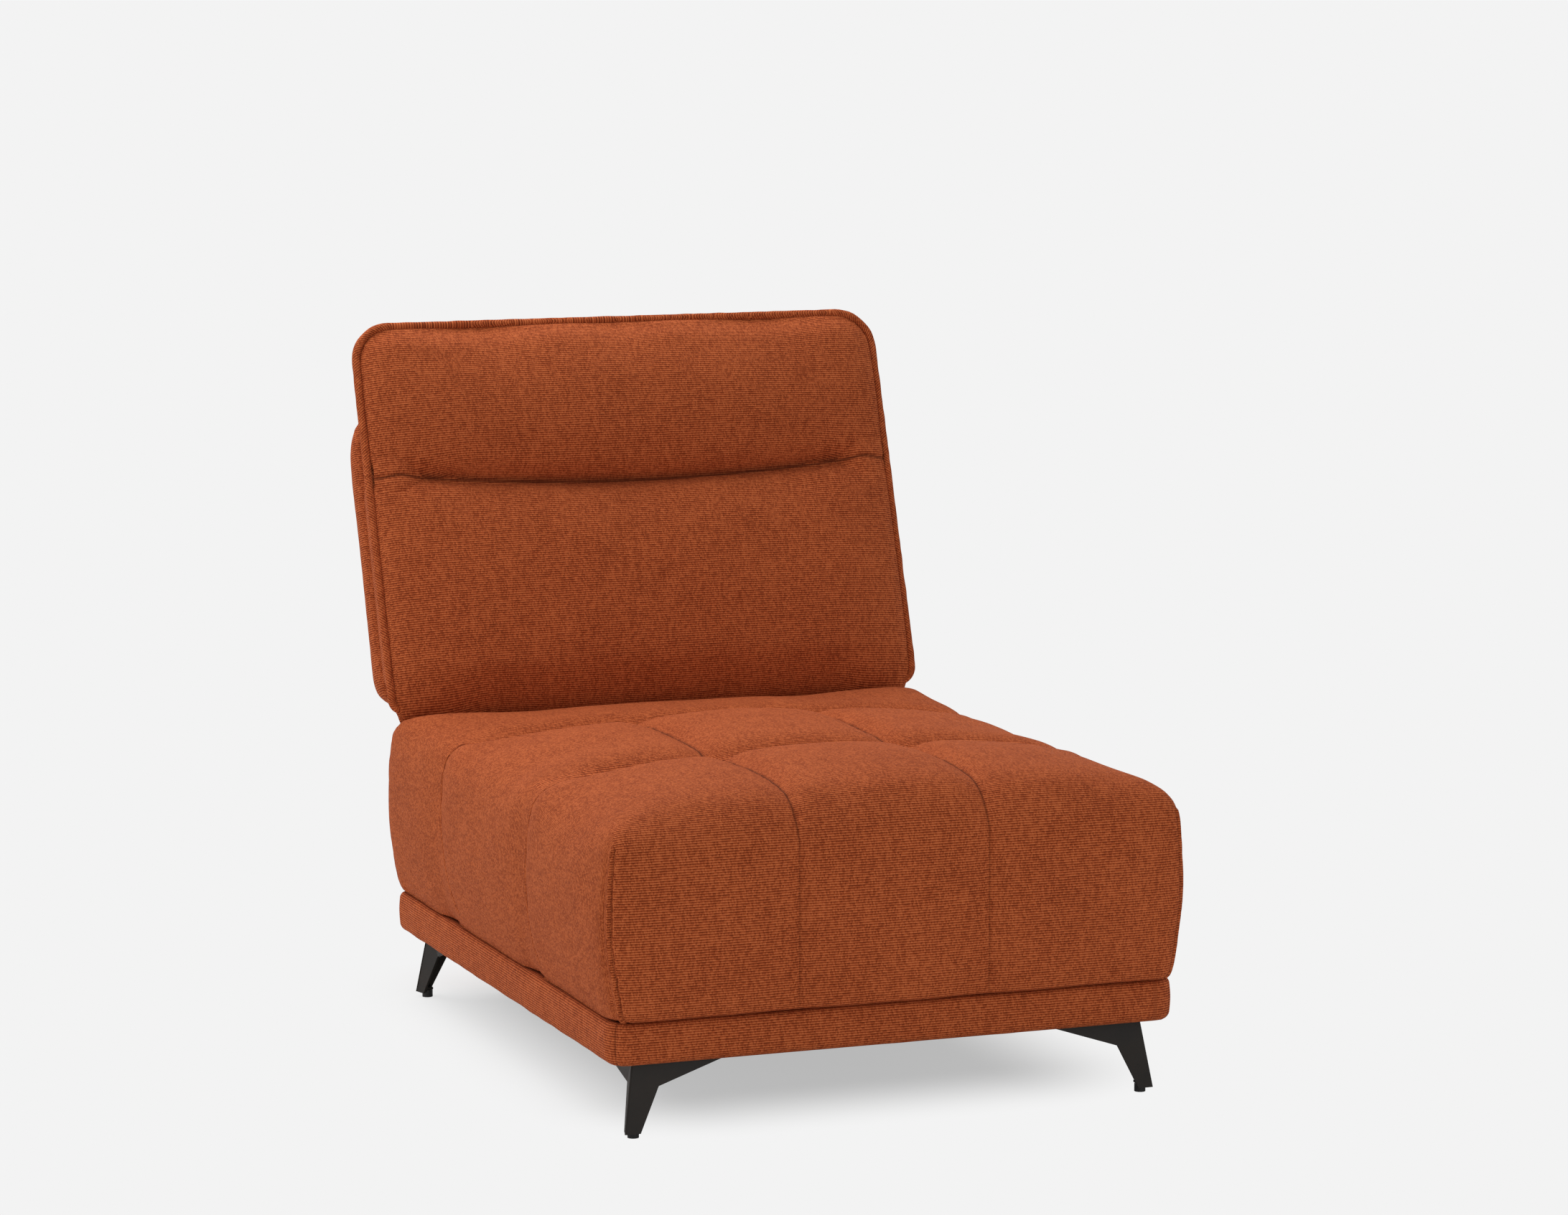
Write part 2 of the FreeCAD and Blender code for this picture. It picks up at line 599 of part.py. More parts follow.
def make_recline_brackets():
    py, pz = recline_pivot()
    foot_y = base_half_depth - board_thickness
    foot_low = seat_box_top - bracket_foot_height
    flange = box(bracket_outer, bracket_outer + bracket_flange_width, foot_y - bracket_flange_thickness, foot_y,
                 foot_low, seat_box_top)
    bracket = fused([bracket_solid(0, bracket_inner, bracket_outer), flange])
    bracket = bracket.cut(rod(recline_pin_radius, bracket_thickness + 2 * cut_overrun,
                              Vector(bracket_inner - cut_overrun, py, pz), Vector(1, 0, 0)))
    bolts = []
    for x, z in bracket_bolt_places():
        bracket = bracket.cut(rod(bracket_bolt_radius + screw_gap, bracket_flange_thickness + 2 * cut_overrun,
                                  Vector(x, foot_y - bracket_flange_thickness - cut_overrun, z), Vector(0, 1, 0)))
        seat_y = foot_y - bracket_flange_thickness
        head = rod(bracket_bolt_head_radius, bracket_bolt_head, Vector(x, seat_y - bracket_bolt_head, z), Vector(0, 1, 0))
        shank = rod(bracket_bolt_radius, bracket_flange_thickness + bracket_bolt_length, Vector(x, seat_y, z),
                    Vector(0, 1, 0))
        bolts.append(fused([head, shank]))
    nodes["recline_bracket_right"] = bracket
    nodes["recline_bracket_left"] = mirrored(bracket)
    nodes["bracket_bolts"] = Part.Compound(bolts + [mirrored(b) for b in bolts])
    washer_x = arm_outer + running_gap
    washer = rod(recline_pin_head_radius, washer_thickness, Vector(washer_x, py, pz), Vector(1, 0, 0))
    washer = washer.cut(rod(recline_pin_radius, washer_thickness, Vector(washer_x, py, pz), Vector(1, 0, 0)))
    nodes["recline_washers"] = Part.Compound([washer, mirrored(washer)])
    start = stile_outer - running_gap - recline_pin_head
    pin = fused([
        rod(recline_pin_head_radius, recline_pin_head, Vector(start, py, pz), Vector(1, 0, 0)),
        rod(recline_pin_radius, bracket_outer + recline_pin_head - start, Vector(start, py, pz), Vector(1, 0, 0)),
        rod(recline_pin_head_radius, recline_pin_head, Vector(bracket_outer, py, pz), Vector(1, 0, 0))])
    nodes["recline_pins"] = Part.Compound([pin, mirrored(pin)])


def bracket_bolt_places():
    """The bolts of the right bracket, up the middle of its flange."""
    x = bracket_outer + bracket_flange_width / 2
    low = seat_box_top - bracket_foot_height
    return [(x, low + bracket_foot_height * share) for share in bracket_bolt_shares]


def make_recline_arms():
    """A flat arm on the outer face of each stile, turning on the bracket's pin."""
    middle = (frame_front + frame_rear) / 2
    half = frame_depth / 2 - joint_gap
    shank = box(stile_outer, arm_outer, middle - half, middle + half, recline_u, recline_u + arm_length)
    head = rod(recline_head_radius - joint_gap, arm_thickness, Vector(stile_outer, recline_w, recline_u), Vector(1, 0, 0))
    arm = fused([shank, head])
    arm = arm.cut(rod(recline_pin_radius + running_gap, arm_thickness + 2 * cut_overrun,
                      Vector(stile_outer - cut_overrun, recline_w, recline_u), Vector(1, 0, 0)))
    for u in arm_screw_places():
        arm = arm.cut(rod(arm_screw_radius + screw_gap, arm_thickness + 2 * cut_overrun,
                          Vector(stile_outer - cut_overrun, middle, u), Vector(1, 0, 0)))
    add_pair("recline_arm", arm)
    add_screws("recline_arm_screws", [plate_screw(arm_outer, middle, u) for u in arm_screw_places()])


def arm_screw_places():
    return [recline_u + arm_length * share for share in arm_screw_shares]


def plate_screw(x, w, u):
    """A screw driven inwards through a hinge plate whose outer face is at x."""
    return fused([rod(arm_screw_head_radius, arm_screw_head, Vector(x, w, u), Vector(1, 0, 0)),
                  rod(arm_screw_radius, arm_thickness + arm_screw_length, Vector(x, w, u), Vector(-1, 0, 0))])


def add_pair(name, right):
    """Place a piece of the back and its mirror image."""
    placed = to_place(right)
    nodes[name + "_right"] = placed
    nodes[name + "_left"] = mirrored(placed)


def add_screws(name, screws):
    placed = [to_place(s) for s in screws]
    nodes[name] = Part.Compound(placed + [mirrored(s) for s in placed])


# Back frame
def make_back_frame():
    middle = (frame_front + frame_rear) / 2
    stile_inner = stile_outer - stile_width
    stile = box(stile_inner, stile_outer, frame_front, frame_rear, frame_bottom, frame_top)
    for u in arm_screw_places() + base_screw_places():
        stile = stile.cut(rod(arm_screw_radius + screw_gap, arm_screw_length + cut_overrun,
                              Vector(stile_outer + cut_overrun, middle, u), Vector(-1, 0, 0)))
    add_pair("back_stile", stile)
    for name, low in (("bottom", frame_bottom), ("top", frame_top - back_rail_height)):
        rail = box(-stile_inner, stile_inner, frame_front, frame_rear, low, low + back_rail_height)
        nodes["back_rail_" + name] = to_place(rail)
    reach = stile_inner - web_width
    straps = []
    for i in range(back_web_count):
        x = reach * (2 * i / (back_web_count - 1) - 1)
        straps.append(to_place(box(x - web_width / 2, x + web_width / 2, frame_front - web_thickness, frame_front,
                                   frame_bottom, frame_top)))
    nodes["back_webbing"] = Part.Compound(straps)


# Outlines of the back in its own plane
def outline_face(half, low, high, low_radius, high_radius, w):
    """A flat outline with rounded corners, square across the back."""
    cut_low = low_radius * (1 - math.sqrt(0.5))
    cut_high = high_radius * (1 - math.sqrt(0.5))

    def at(x, u):
        return Vector(x, w, u)

    edges = [line(at(-half + low_radius, low), at(half - low_radius, low)),
             arc(at(half - low_radius, low), at(half - cut_low, low + cut_low), at(half, low + low_radius)),
             line(at(half, low + low_radius), at(half, high - high_radius)),
             arc(at(half, high - high_radius), at(half - cut_high, high - cut_high), at(half - high_radius, high)),
             line(at(half - high_radius, high), at(-half + high_radius, high)),
             arc(at(-half + high_radius, high), at(-half + cut_high, high - cut_high), at(-half, high - high_radius)),
             line(at(-half, high - high_radius), at(-half, low + low_radius)),
             arc(at(-half, low + low_radius), at(-half + cut_low, low + cut_low), at(-half + low_radius, low))]
    return Part.Face(Part.Wire(edges))


def make_rear_panel():
    outline = outline_face(panel_half_width, panel_bottom, panel_top, panel_bottom_radius, panel_top_radius, panel_front)
    pad = outline.extrude(Vector(0, panel_depth, 0))
    rim = [e for e in pad.Edges if e.BoundBox.YMin > panel_front + panel_depth / 2]
    pad = pad.makeFillet(panel_edge_radius, rim)
    margin = panel_board_margin
    board = box(-panel_half_width + margin, panel_half_width - margin, panel_front, panel_front + panel_board,
                panel_bottom + margin, panel_top - margin)
    pad = pad.cut(board)
    for side in (-1, 1):
        pad = pad.cut(hinge_slot(side, panel_front - cut_overrun))
    nodes["rear_panel_board"] = to_place(board)
    nodes["rear_panel_pad"] = to_place(pad)


def hinge_slot(side, front):
    """The room round a bracket's head and neck, cut from a piece of the back behind w = front."""
    x0 = slot_inner if side > 0 else -slot_outer
    width = slot_outer - slot_inner
    radius = recline_head_radius + slot_depth_gap
    head = rod(radius, width, Vector(x0, recline_w, recline_u), Vector(1, 0, 0))
    low = box(x0, x0 + width, min(front, recline_w - radius), recline_w, recline_u - 2 * radius, recline_u)
    return fused([head, low])


# Front cushions of the back and of the headrest
def crease_u(x):
    """The height of the crease: a shallow arc that sags between its two ends."""
    radius = (face_half_width ** 2 + crease_sag ** 2) / (2 * crease_sag)
    return crease_end - crease_sag + radius - math.sqrt(radius ** 2 - x ** 2)


def corner_fall(x, radius):
    """How far a rounded corner of the face falls back at this distance from the middle."""
    into = max(0.0, abs(x) - (face_half_width - radius))
    return radius - math.sqrt(max(radius ** 2 - into ** 2, 0.0))


def face_wire(x, crown, low, high, low_lip, high_lip, low_w, high_w):
    """One upright cut through a front cushion, from its flat rear face to its crowned front."""
    lip_w = -crown * lip_crown_share
    low_corner = Vector(x, low_w, low)
    high_corner = Vector(x, high_w, high)
    low_edge = Vector(x, lip_w, low + low_lip)
    high_edge = Vector(x, lip_w, high - high_lip)
    crest = Vector(x, -crown, (low_edge.z + high_edge.z) / 2)

    def lip(a, b, away):
        middle = (a + b) * 0.5
        return arc(a, Vector(x, middle.y - lip_bulge, middle.z + away * lip_bulge), b)

    return Part.Wire([
        line(Vector(x, cushion_rear, high), Vector(x, cushion_rear, low)),
        line(Vector(x, cushion_rear, low), low_corner), lip(low_corner, low_edge, -1),
        arc(low_edge, crest, high_edge), lip(high_edge, high_corner, 1),
        line(high_corner, Vector(x, cushion_rear, high))])


def outside_band(face, w0, w1):
    """All that lies outside an outline between two depths, for trimming a cushion."""
    far = 2 * back_height
    slab = box(-far, far, w0, w1, -far, far)
    tool = face.extrude(Vector(0, w1 - w0, 0))
    return slab.cut(tool)


def crease_cutter(offset, above):
    """All that lies above or below the crease, moved up by an offset."""
    far = 2 * back_height
    half = face_half_width
    rise = Vector(0, 0, offset)
    ends = [Vector(side * half, -far, crease_u(side * half)) + rise for side in (-1, 1)]
    middle = Vector(0, -far, crease_u(0)) + rise
    level = far if above else -far
    out_left = Vector(-far, -far, ends[0].z)
    out_right = Vector(far, -far, ends[1].z)
    edges = [line(out_left, ends[0]), arc(ends[0], middle, ends[1]), line(ends[1], out_right),
             line(out_right, Vector(far, -far, level)), line(Vector(far, -far, level), Vector(-far, -far, level)),
             line(Vector(-far, -far, level), out_left)]
    return Part.Face(Part.Wire(edges)).extrude(Vector(0, 2 * far, 0))


def piping_path(low, high, low_radius, high_radius, closed_low):
    """The centre line of the piping: up both sides and across the end that has it."""
    half = face_half_width + piping_radius + soft_gap
    low_radius = max(low_radius, piping_radius)
    face = outline_face(half, low, high, low_radius, high_radius, piping_w)
    edges = face.OuterWire.OrderedEdges
    if closed_low:
        kept = [e for e in edges if e.BoundBox.ZMin < high - high_radius - running_gap]
    else:
        kept = [e for e in edges if e.BoundBox.ZMax > low + low_radius + running_gap]
    return Part.Wire(Part.__sortEdges__(kept))


def piping(path):
    """A round cord swept along its path."""
    start = path.OrderedVertexes[0].Point
    section = Part.Wire(Part.makeCircle(piping_radius, start, Vector(0, 0, 1)))
    return path.makePipeShell([section], True, False)


def make_back_cushion():
    wires = []
    for across, crown_share in face_station_shares:
        x = face_half_width * across
        low = corner_fall(x, face_corner_radius) - face_bottom_bow * (1 - across ** 4)
        wires.append(face_wire(x, back_crown * crown_share, low, crease_u(x) - crease_gap / 2, lip_height,
                               crease_lip, -piping_w, tilt_w))
    pad = Part.makeLoft(wires, True, False)
    inner_low = band_bottom + 2 * piping_radius + soft_gap
    front_w = piping_w - piping_radius - soft_gap
    inner = outline_face(face_half_width + soft_gap / 2, inner_low, back_height,
                         band_corner_radius - 2 * piping_radius, top_corner_radius, front_w)
    pad = pad.cut(outside_band(inner, front_w, cushion_rear + cut_overrun))
    boxing_w = piping_w + piping_radius + soft_gap
    boxing = outline_face(panel_half_width, panel_bottom, back_height, panel_bottom_radius, top_corner_radius,
                          boxing_w)
    boxing = boxing.extrude(Vector(0, panel_front - soft_gap - boxing_w, 0))
    boxing = boxing.cut(crease_cutter(-boxing_step, True))
    cushion = fused([pad, boxing])
    cushion = cushion.cut(box(-slot_outer, slot_outer, cushion_rear, panel_front, frame_bottom - soft_gap, back_height))
    core = box(-core_half_width, core_half_width, cushion_rear - back_core_depth, cushion_rear,
               frame_bottom, crease_u(0) - core_margin)
    cushion = cushion.cut(core)
    for side in (-1, 1):
        cushion = cushion.cut(hinge_slot(side, recline_w))
        cushion = cushion.cut(box(min(side * slot_inner, side * slot_outer), max(side * slot_inner, side * slot_outer),
                                  cushion_rear, panel_front, -back_height, frame_bottom))
        cushion = cushion.cut(tilt_slot(side, crease_u(slot_inner) - tilt_base_length - slot_depth_gap, back_height))
    nodes["back_foam_core"] = to_place(core)
    nodes["back_cushion"] = to_place(cushion)
    low = band_bottom + piping_radius
    path = piping_path(low, crease_end - piping_gap + piping_radius, band_corner_radius - piping_radius,
                       piping_radius, True)
    nodes["back_piping"] = to_place(piping(path))


def make_headrest_cushion():
    top = back_height - 2 * piping_radius - soft_gap
    wires = []
    for across, crown_share in face_station_shares:
        x = face_half_width * across
        high = top - corner_fall(x, top_corner_radius)
        wires.append(face_wire(x, headrest_crown * crown_share, crease_u(x) + crease_gap / 2, high, crease_lip,
                               lip_height, tilt_w, -piping_w))
    pad = Part.makeLoft(wires, True, False)
    front_w = piping_w - piping_radius - soft_gap
    inner = outline_face(face_half_width + soft_gap / 2, 0, top, band_corner_radius, top_corner_radius, front_w)
    pad = pad.cut(outside_band(inner, front_w, cushion_rear + cut_overrun))
    boxing_w = piping_w + piping_radius + soft_gap
    boxing = outline_face(face_half_width + headrest_boxing_out, 0, back_height - piping_radius, band_corner_radius,
                          top_corner_radius, boxing_w)
    boxing = boxing.extrude(Vector(0, cushion_rear - boxing_w, 0))
    shell = outline_face(face_half_width - headrest_shell_inset, 0, back_height - 2 * piping_radius, band_corner_radius,
                         top_corner_radius, tilt_w)
    shell = shell.extrude(Vector(0, headrest_rear + headrest_board - tilt_w, 0))
    cutter = crease_cutter(boxing_step, False)
    cushion = fused([pad, boxing.cut(cutter), shell.cut(cutter)])
    pocket = arm_outer + washer_thickness + running_gap + arm_thickness + headrest_stile_width + soft_gap
    cushion = cushion.cut(box(-pocket, pocket, cushion_rear, panel_front, -back_height,
                              back_height - headrest_top_margin + soft_gap))
    swing = cushion_rear + soft_gap - tilt_w - joint_gap
    notch_w = tilt_w + math.sqrt(swing ** 2 - (tilt_u - crease_u(0)) ** 2)
    notch_x = stile_outer - stile_width
    cushion = cushion.cut(box(-notch_x, notch_x, notch_w, cushion_rear + cut_overrun, -back_height, tilt_u))
    core = box(-core_half_width, core_half_width, cushion_rear - back_core_depth, cushion_rear,
               crease_end + core_margin, back_height - core_margin - piping_radius)
    cushion = cushion.cut(core)
    for side in (-1, 1):
        cushion = cushion.cut(tilt_slot(side, -back_height,
                                        tilt_u + tilt_neck_drop + tilt_arm_length + tilt_slot_end_gap))
    nodes["headrest_foam_core"] = to_place(core)
    nodes["headrest_cushion"] = to_place(cushion)
    path = piping_path(crease_end + piping_gap - piping_radius, back_height - piping_radius, piping_radius,
                       top_corner_radius + piping_radius, False)
    nodes["headrest_piping"] = to_place(piping(path))


def tilt_slot(side, low, high):
    """The slit in a front cushion for the headrest hinge, open to the rear."""
    x0 = slot_inner if side > 0 else -slot_outer
    return box(x0, x0 + slot_outer - slot_inner, tilt_w - tilt_head_radius - slot_depth_gap / 2,
               cushion_rear + cut_overrun, low, high)


# Headrest hinge and frame
def base_screw_places():
    return [tilt_u - tilt_neck_drop - tilt_base_length * share for share in tilt_screw_shares]


def headrest_screw_places():
    return [tilt_u + tilt_neck_drop + tilt_arm_length * share for share in tilt_screw_shares]


def tilt_plate(x0, direction, middle, half, length):
    """A hinge plate: a head on the axis, a slanting neck and a straight shank."""
    head = rod(tilt_head_radius, arm_thickness, Vector(x0, tilt_w, tilt_u), Vector(1, 0, 0))
    end_u = tilt_u + direction * tilt_neck_drop
    run = math.hypot(middle - tilt_w, end_u - tilt_u)
    nw = (end_u - tilt_u) / run * tilt_neck_width / 2
    nu = -(middle - tilt_w) / run * tilt_neck_width / 2
    neck = prism([Vector(x0, tilt_w + nw, tilt_u + nu), Vector(x0, middle + nw, end_u + nu),
                  Vector(x0, middle - nw, end_u - nu), Vector(x0, tilt_w - nw, tilt_u - nu)],
                 Vector(arm_thickness, 0, 0))
    shank_u = sorted((end_u - direction * half, end_u + direction * length))
    shank = box(x0, x0 + arm_thickness, middle - half, middle + half, shank_u[0], shank_u[1])
    return fused([head, neck, shank])


def make_tilt_hinges():
    middle = (frame_front + frame_rear) / 2
    half = frame_depth / 2 - joint_gap
    base = tilt_plate(stile_outer, -1, middle, half, tilt_base_length)
    base = base.cut(rod(tilt_pin_radius, arm_thickness + 2 * cut_overrun,
                        Vector(stile_outer - cut_overrun, tilt_w, tilt_u), Vector(1, 0, 0)))
    for u in base_screw_places():
        base = base.cut(rod(arm_screw_radius + screw_gap, arm_thickness + 2 * cut_overrun,
                            Vector(stile_outer - cut_overrun, middle, u), Vector(1, 0, 0)))
    add_pair("tilt_hinge_base", base)
    add_screws("tilt_base_screws", [plate_screw(arm_outer, middle, u) for u in base_screw_places()])
    washer = rod(tilt_pin_head_radius, washer_thickness, Vector(arm_outer, tilt_w, tilt_u), Vector(1, 0, 0))
    washer = washer.cut(rod(tilt_pin_radius, washer_thickness, Vector(arm_outer, tilt_w, tilt_u), Vector(1, 0, 0)))
    add_screws("tilt_washers", [washer])
    arm_x = arm_outer + washer_thickness + running_gap
    stile_middle = (headrest_front + headrest_rear) / 2
    stile_half = headrest_frame_depth / 2 - soft_gap
    arm = tilt_plate(arm_x, 1, stile_middle, stile_half, tilt_arm_length)
    arm = arm.cut(rod(tilt_pin_radius + running_gap, arm_thickness + 2 * cut_overrun,
                      Vector(arm_x - cut_overrun, tilt_w, tilt_u), Vector(1, 0, 0)))
    screws = []
    for u in headrest_screw_places():
        arm = arm.cut(rod(arm_screw_radius + screw_gap, arm_thickness + 2 * cut_overrun,
                          Vector(arm_x - cut_overrun, stile_middle, u), Vector(1, 0, 0)))
        screws.append(fused([
            rod(arm_screw_head_radius, arm_screw_head, Vector(arm_x - arm_screw_head, stile_middle, u), Vector(1, 0, 0)),
            rod(arm_screw_radius, arm_thickness + arm_screw_length, Vector(arm_x, stile_middle, u), Vector(1, 0, 0))]))
    add_pair("tilt_hinge_arm", arm)
    add_screws("tilt_arm_screws", screws)
    start = stile_outer - tilt_pin_head
    end = arm_x + arm_thickness + running_gap
    pin = fused([rod(tilt_pin_head_radius, tilt_pin_head, Vector(start, tilt_w, tilt_u), Vector(1, 0, 0)),
                 rod(tilt_pin_radius, end + tilt_pin_head - start, Vector(start, tilt_w, tilt_u), Vector(1, 0, 0)),
                 rod(tilt_pin_head_radius, tilt_pin_head, Vector(end, tilt_w, tilt_u), Vector(1, 0, 0))])
    add_screws("tilt_pins", [pin])


def make_headrest_frame():
    stile_x = arm_outer + washer_thickness + running_gap + arm_thickness
    top = back_height - headrest_top_margin
    stile = box(stile_x, stile_x + headrest_stile_width, headrest_front, headrest_rear, crease_end, top)
    stile_middle = (headrest_front + headrest_rear) / 2
    for u in headrest_screw_places():
        stile = stile.cut(rod(arm_screw_radius + screw_gap, arm_screw_length + cut_overrun,
                              Vector(stile_x - cut_overrun, stile_middle, u), Vector(1, 0, 0)))
    add_pair("headrest_stile", stile)
    rail = box(-stile_x, stile_x, headrest_front, headrest_rear, top - headrest_rail_height, top)
    nodes["headrest_rail"] = to_place(rail)
    half = stile_x + headrest_stile_width
    board = box(-half, half, headrest_rear, headrest_rear + headrest_board, crease_end + headrest_cover_margin, top)
    nodes["headrest_board"] = to_place(board)
    cover_w = headrest_rear + headrest_board
    outline = outline_face(face_half_width - headrest_shell_inset, crease_end + soft_gap,
                           back_height - headrest_cover_margin, headrest_cover_edge, headrest_cover_radius, cover_w)
    cover = outline.extrude(Vector(0, panel_front - soft_gap - cover_w, 0))
    nodes["headrest_back_cover"] = to_place(cover)


make_base_frame()
make_plinth()
make_legs()
make_seat_box()
make_seat_cushion()
make_recline_brackets()
make_recline_arms()
make_back_frame()
make_rear_panel()
make_back_cushion()
make_headrest_cushion()
make_tilt_hinges()
make_headrest_frame()

# The whole chair is centred on its overall depth
front = min(shape.optimalBoundingBox(True, False).YMin for shape in nodes.values())
rear = max(shape.optimalBoundingBox(True, False).YMax for shape in nodes.values())
shift_y = -(front + rear) / 2
for name, shape in nodes.items():
    shape.translate(Vector(0, shift_y, 0))
    shape.exportStep("parts/" + name + ".step")
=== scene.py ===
"""Looks of the armless reclining lounge chair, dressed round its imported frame."""
import json
import math
import bmesh
import bpy
import numpy as np
from mathutils import Matrix, Vector, noise
from mathutils.bvhtree import BVHTree


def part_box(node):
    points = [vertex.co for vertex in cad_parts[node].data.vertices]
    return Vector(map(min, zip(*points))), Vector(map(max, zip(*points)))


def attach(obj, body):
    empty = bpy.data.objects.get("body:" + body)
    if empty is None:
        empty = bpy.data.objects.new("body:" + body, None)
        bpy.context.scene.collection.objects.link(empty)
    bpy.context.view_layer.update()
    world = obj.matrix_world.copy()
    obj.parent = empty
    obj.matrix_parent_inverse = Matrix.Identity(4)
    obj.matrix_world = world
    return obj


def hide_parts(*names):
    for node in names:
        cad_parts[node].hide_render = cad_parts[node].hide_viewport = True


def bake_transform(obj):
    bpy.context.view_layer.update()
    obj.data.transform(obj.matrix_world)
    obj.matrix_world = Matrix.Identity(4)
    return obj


bl_info = {
    "name": "Reclining Lounge Chair",
    "version": (1, 0, 0),
    "blender": (4, 5, 0),
    "location": "View3D > Sidebar > Lounge Chair",
    "description": "Upholstery, finishes and studio of an armless reclining lounge chair",
    "category": "Object",
}

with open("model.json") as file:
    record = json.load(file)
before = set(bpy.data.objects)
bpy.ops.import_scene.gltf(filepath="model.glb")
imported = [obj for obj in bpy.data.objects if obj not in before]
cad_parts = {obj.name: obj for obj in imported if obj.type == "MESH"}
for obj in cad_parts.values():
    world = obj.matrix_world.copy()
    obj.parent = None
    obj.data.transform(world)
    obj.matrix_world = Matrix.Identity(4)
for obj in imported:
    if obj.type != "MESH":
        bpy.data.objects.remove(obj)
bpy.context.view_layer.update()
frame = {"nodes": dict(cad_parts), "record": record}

MILLIMETRE = 0.001
WELD = 0.01 * MILLIMETRE
TINY = 1e-9

# The back's own plane: X across, w to the rear and u up the back, as the frame is built
BACK_LEAN = math.radians(19.2)
BACK_Y = 0.361387
BACK_Z = 0.435
LEAN_SIN = math.sin(BACK_LEAN)
LEAN_COS = math.cos(BACK_LEAN)

# Places on the seat that the seams follow. A row seam leans forward down the side, and its shares say by
# how much of SEAM_LEAN at each share of the side's height
SEAT_BOTTOM = 0.166
SEAT_SIDE_HEIGHT = 0.229
COLUMN_SEAMS = (-0.152, 0.130)
NEAR_SEAM_Y = -0.2929
FAR_SEAM_Y = 0.1191
SEAM_LEAN = 0.080
NEAR_SEAM_SHARES = ((0.02, 0.56), (0.10, 0.44), (0.2, 0.22), (0.4, 0.01), (0.66, -0.08), (1.0, 0.0))
FAR_SEAM_SHARES = ((0.02, 1.0), (0.10, 0.82), (0.24, 0.51), (0.41, 0.28), (0.65, 0.08), (1.0, 0.0))

# The seat's cover. Widths are in metres and depths in millimetres, as how far the cover is drawn in
SEAT_VOXEL = 12 * MILLIMETRE
SEAT_SWELL = 5 * MILLIMETRE
SEAT_POCKET = ((0, -0.1169, 0.2825), (0.812, 0.990, 0.231))
THREAD_DEPTH = 2.0
THREAD_WIDTH = 0.0026
CHANNEL_WIDTH = 0.012
PUCKER = 0.8
PUCKER_SIZE = 0.016
ROW_DIP = 14.0
ROW_DIP_WIDTH = 0.026
ROW_DIP_ENDS = (0.29, 0.40)
COLUMN_DIP = 7.0
COLUMN_DIP_WIDTH = 0.022
FINE_MESH_REACH = 0.011
SEAM_HOLD = 0.004
SEAM_HOLD_FADE = 0.012
HOLD_RISE = (0.195, 0.250)
FOOT_HOLD = 0.012

# The seat's sewn corner: places beside the seam, widths and depths of its ridge, hollow and stitch line
CORNER_PROFILE = ((0.001, 0.0040, -2.4), (0.0105, 0.0045, 1.7), (-0.0052, 0.0022, 2.2))
CORNER_STITCH = -0.0052
REAR_CORNER_RISE = 0.012

# The plinth's rounded edges
PLINTH_CORNER = 0.030
PLINTH_UNDER = 0.014
PLINTH_OVER = 0.009
CORNER_STEPS = 24
PLINTH_STEP = 0.006
PLINTH_CROWN = 0.0012

# Places on the back
FACE_HALF = 0.4225
CREASE_END = 0.383
CREASE_SAG = 0.027
BACK_HEIGHT = 0.624
ROLL_RADIUS = 0.0065
ROLL_W = 0.002
ROLL_OUT = 0.0068
ROLL_TUCK = 0.038
ROLL_TUCK_W = 0.015
ROLL_SLANT = (0.82, 0.57)
FLANK_FILL = 0.0024
CORNER_FILL = 0.0042
BELLY_DROP = 0.020
BELLY_TUCK = 0.032
HEAD_LIFT = 0.0040
LIP_RECEDE = 0.0100
LIP_FORWARD = 0.0020
LIP_DROP = 0.0055
# How dark the painted shade is on the headrest's lip just above the crease
LIP_PAINTED_SHADE = 0.85
PAD_VOXEL = 10 * MILLIMETRE
PAD_SWELL = 7 * MILLIMETRE
PAD_FRONT_W = -0.006
PAD_PRESSURE = 4.0
PANEL_VOXEL = 13 * MILLIMETRE
PANEL_WIDER = 0.005

# The rooms for the frame inside the back's pads, as w, u and size of the block that closes each
BACK_POCKETS = ((0.0300, 0.2000, (0.640, 0.062, 0.305)), (0.0300, 0.0300, (0.640, 0.062, 0.050)))
HEADREST_POCKETS = ((0.0260, 0.4880, (0.720, 0.060, 0.205)),)
PANEL_POCKETS = ((0.0760, 0.2710, (0.830, 0.028, 0.440)),)

# The crease's lining
LINING_REACH = 0.030
LINING_DROOP = -0.25
LINING_COLUMNS = 160
LINING_LANES = 20
LINING_EDGE = 0.0005
LINING_FLATTENS = (0.340, 0.388)
LINING_RIM = 0.0010
LINING_HOLLOW = 0.0012
LINING_BOTTOM = -0.0035
LINING_BEHIND = 0.012
LINING_CURVE = 1.5
GROOVE_DEPTH = 0.0034
GROOVE_SHARE = 0.13

# Patterns of the cloth, as how many fit into a metre: bends of 17 mm along a rib, fibres of 2 by 3 mm,
# slubs of 11 by 38 mm and clouds of 11 cm
WAVERS = 60.0
FIBRES = (520.0, 330.0, 0.0)
SLUBS = (95.0, 26.0, 0.0)
CLOUDS = 9.0
WAVER_REACH = 1.0 * MILLIMETRE
BEAD_SHARE = 0.42
# The sewn lines' colour, which also paints shade under the headrest's lip, along the crease and on the
# seat's upward seams
SEAM_AND_PAINTED_SHADE = "#431707"
NAP_SHADE = "#e08a5a"

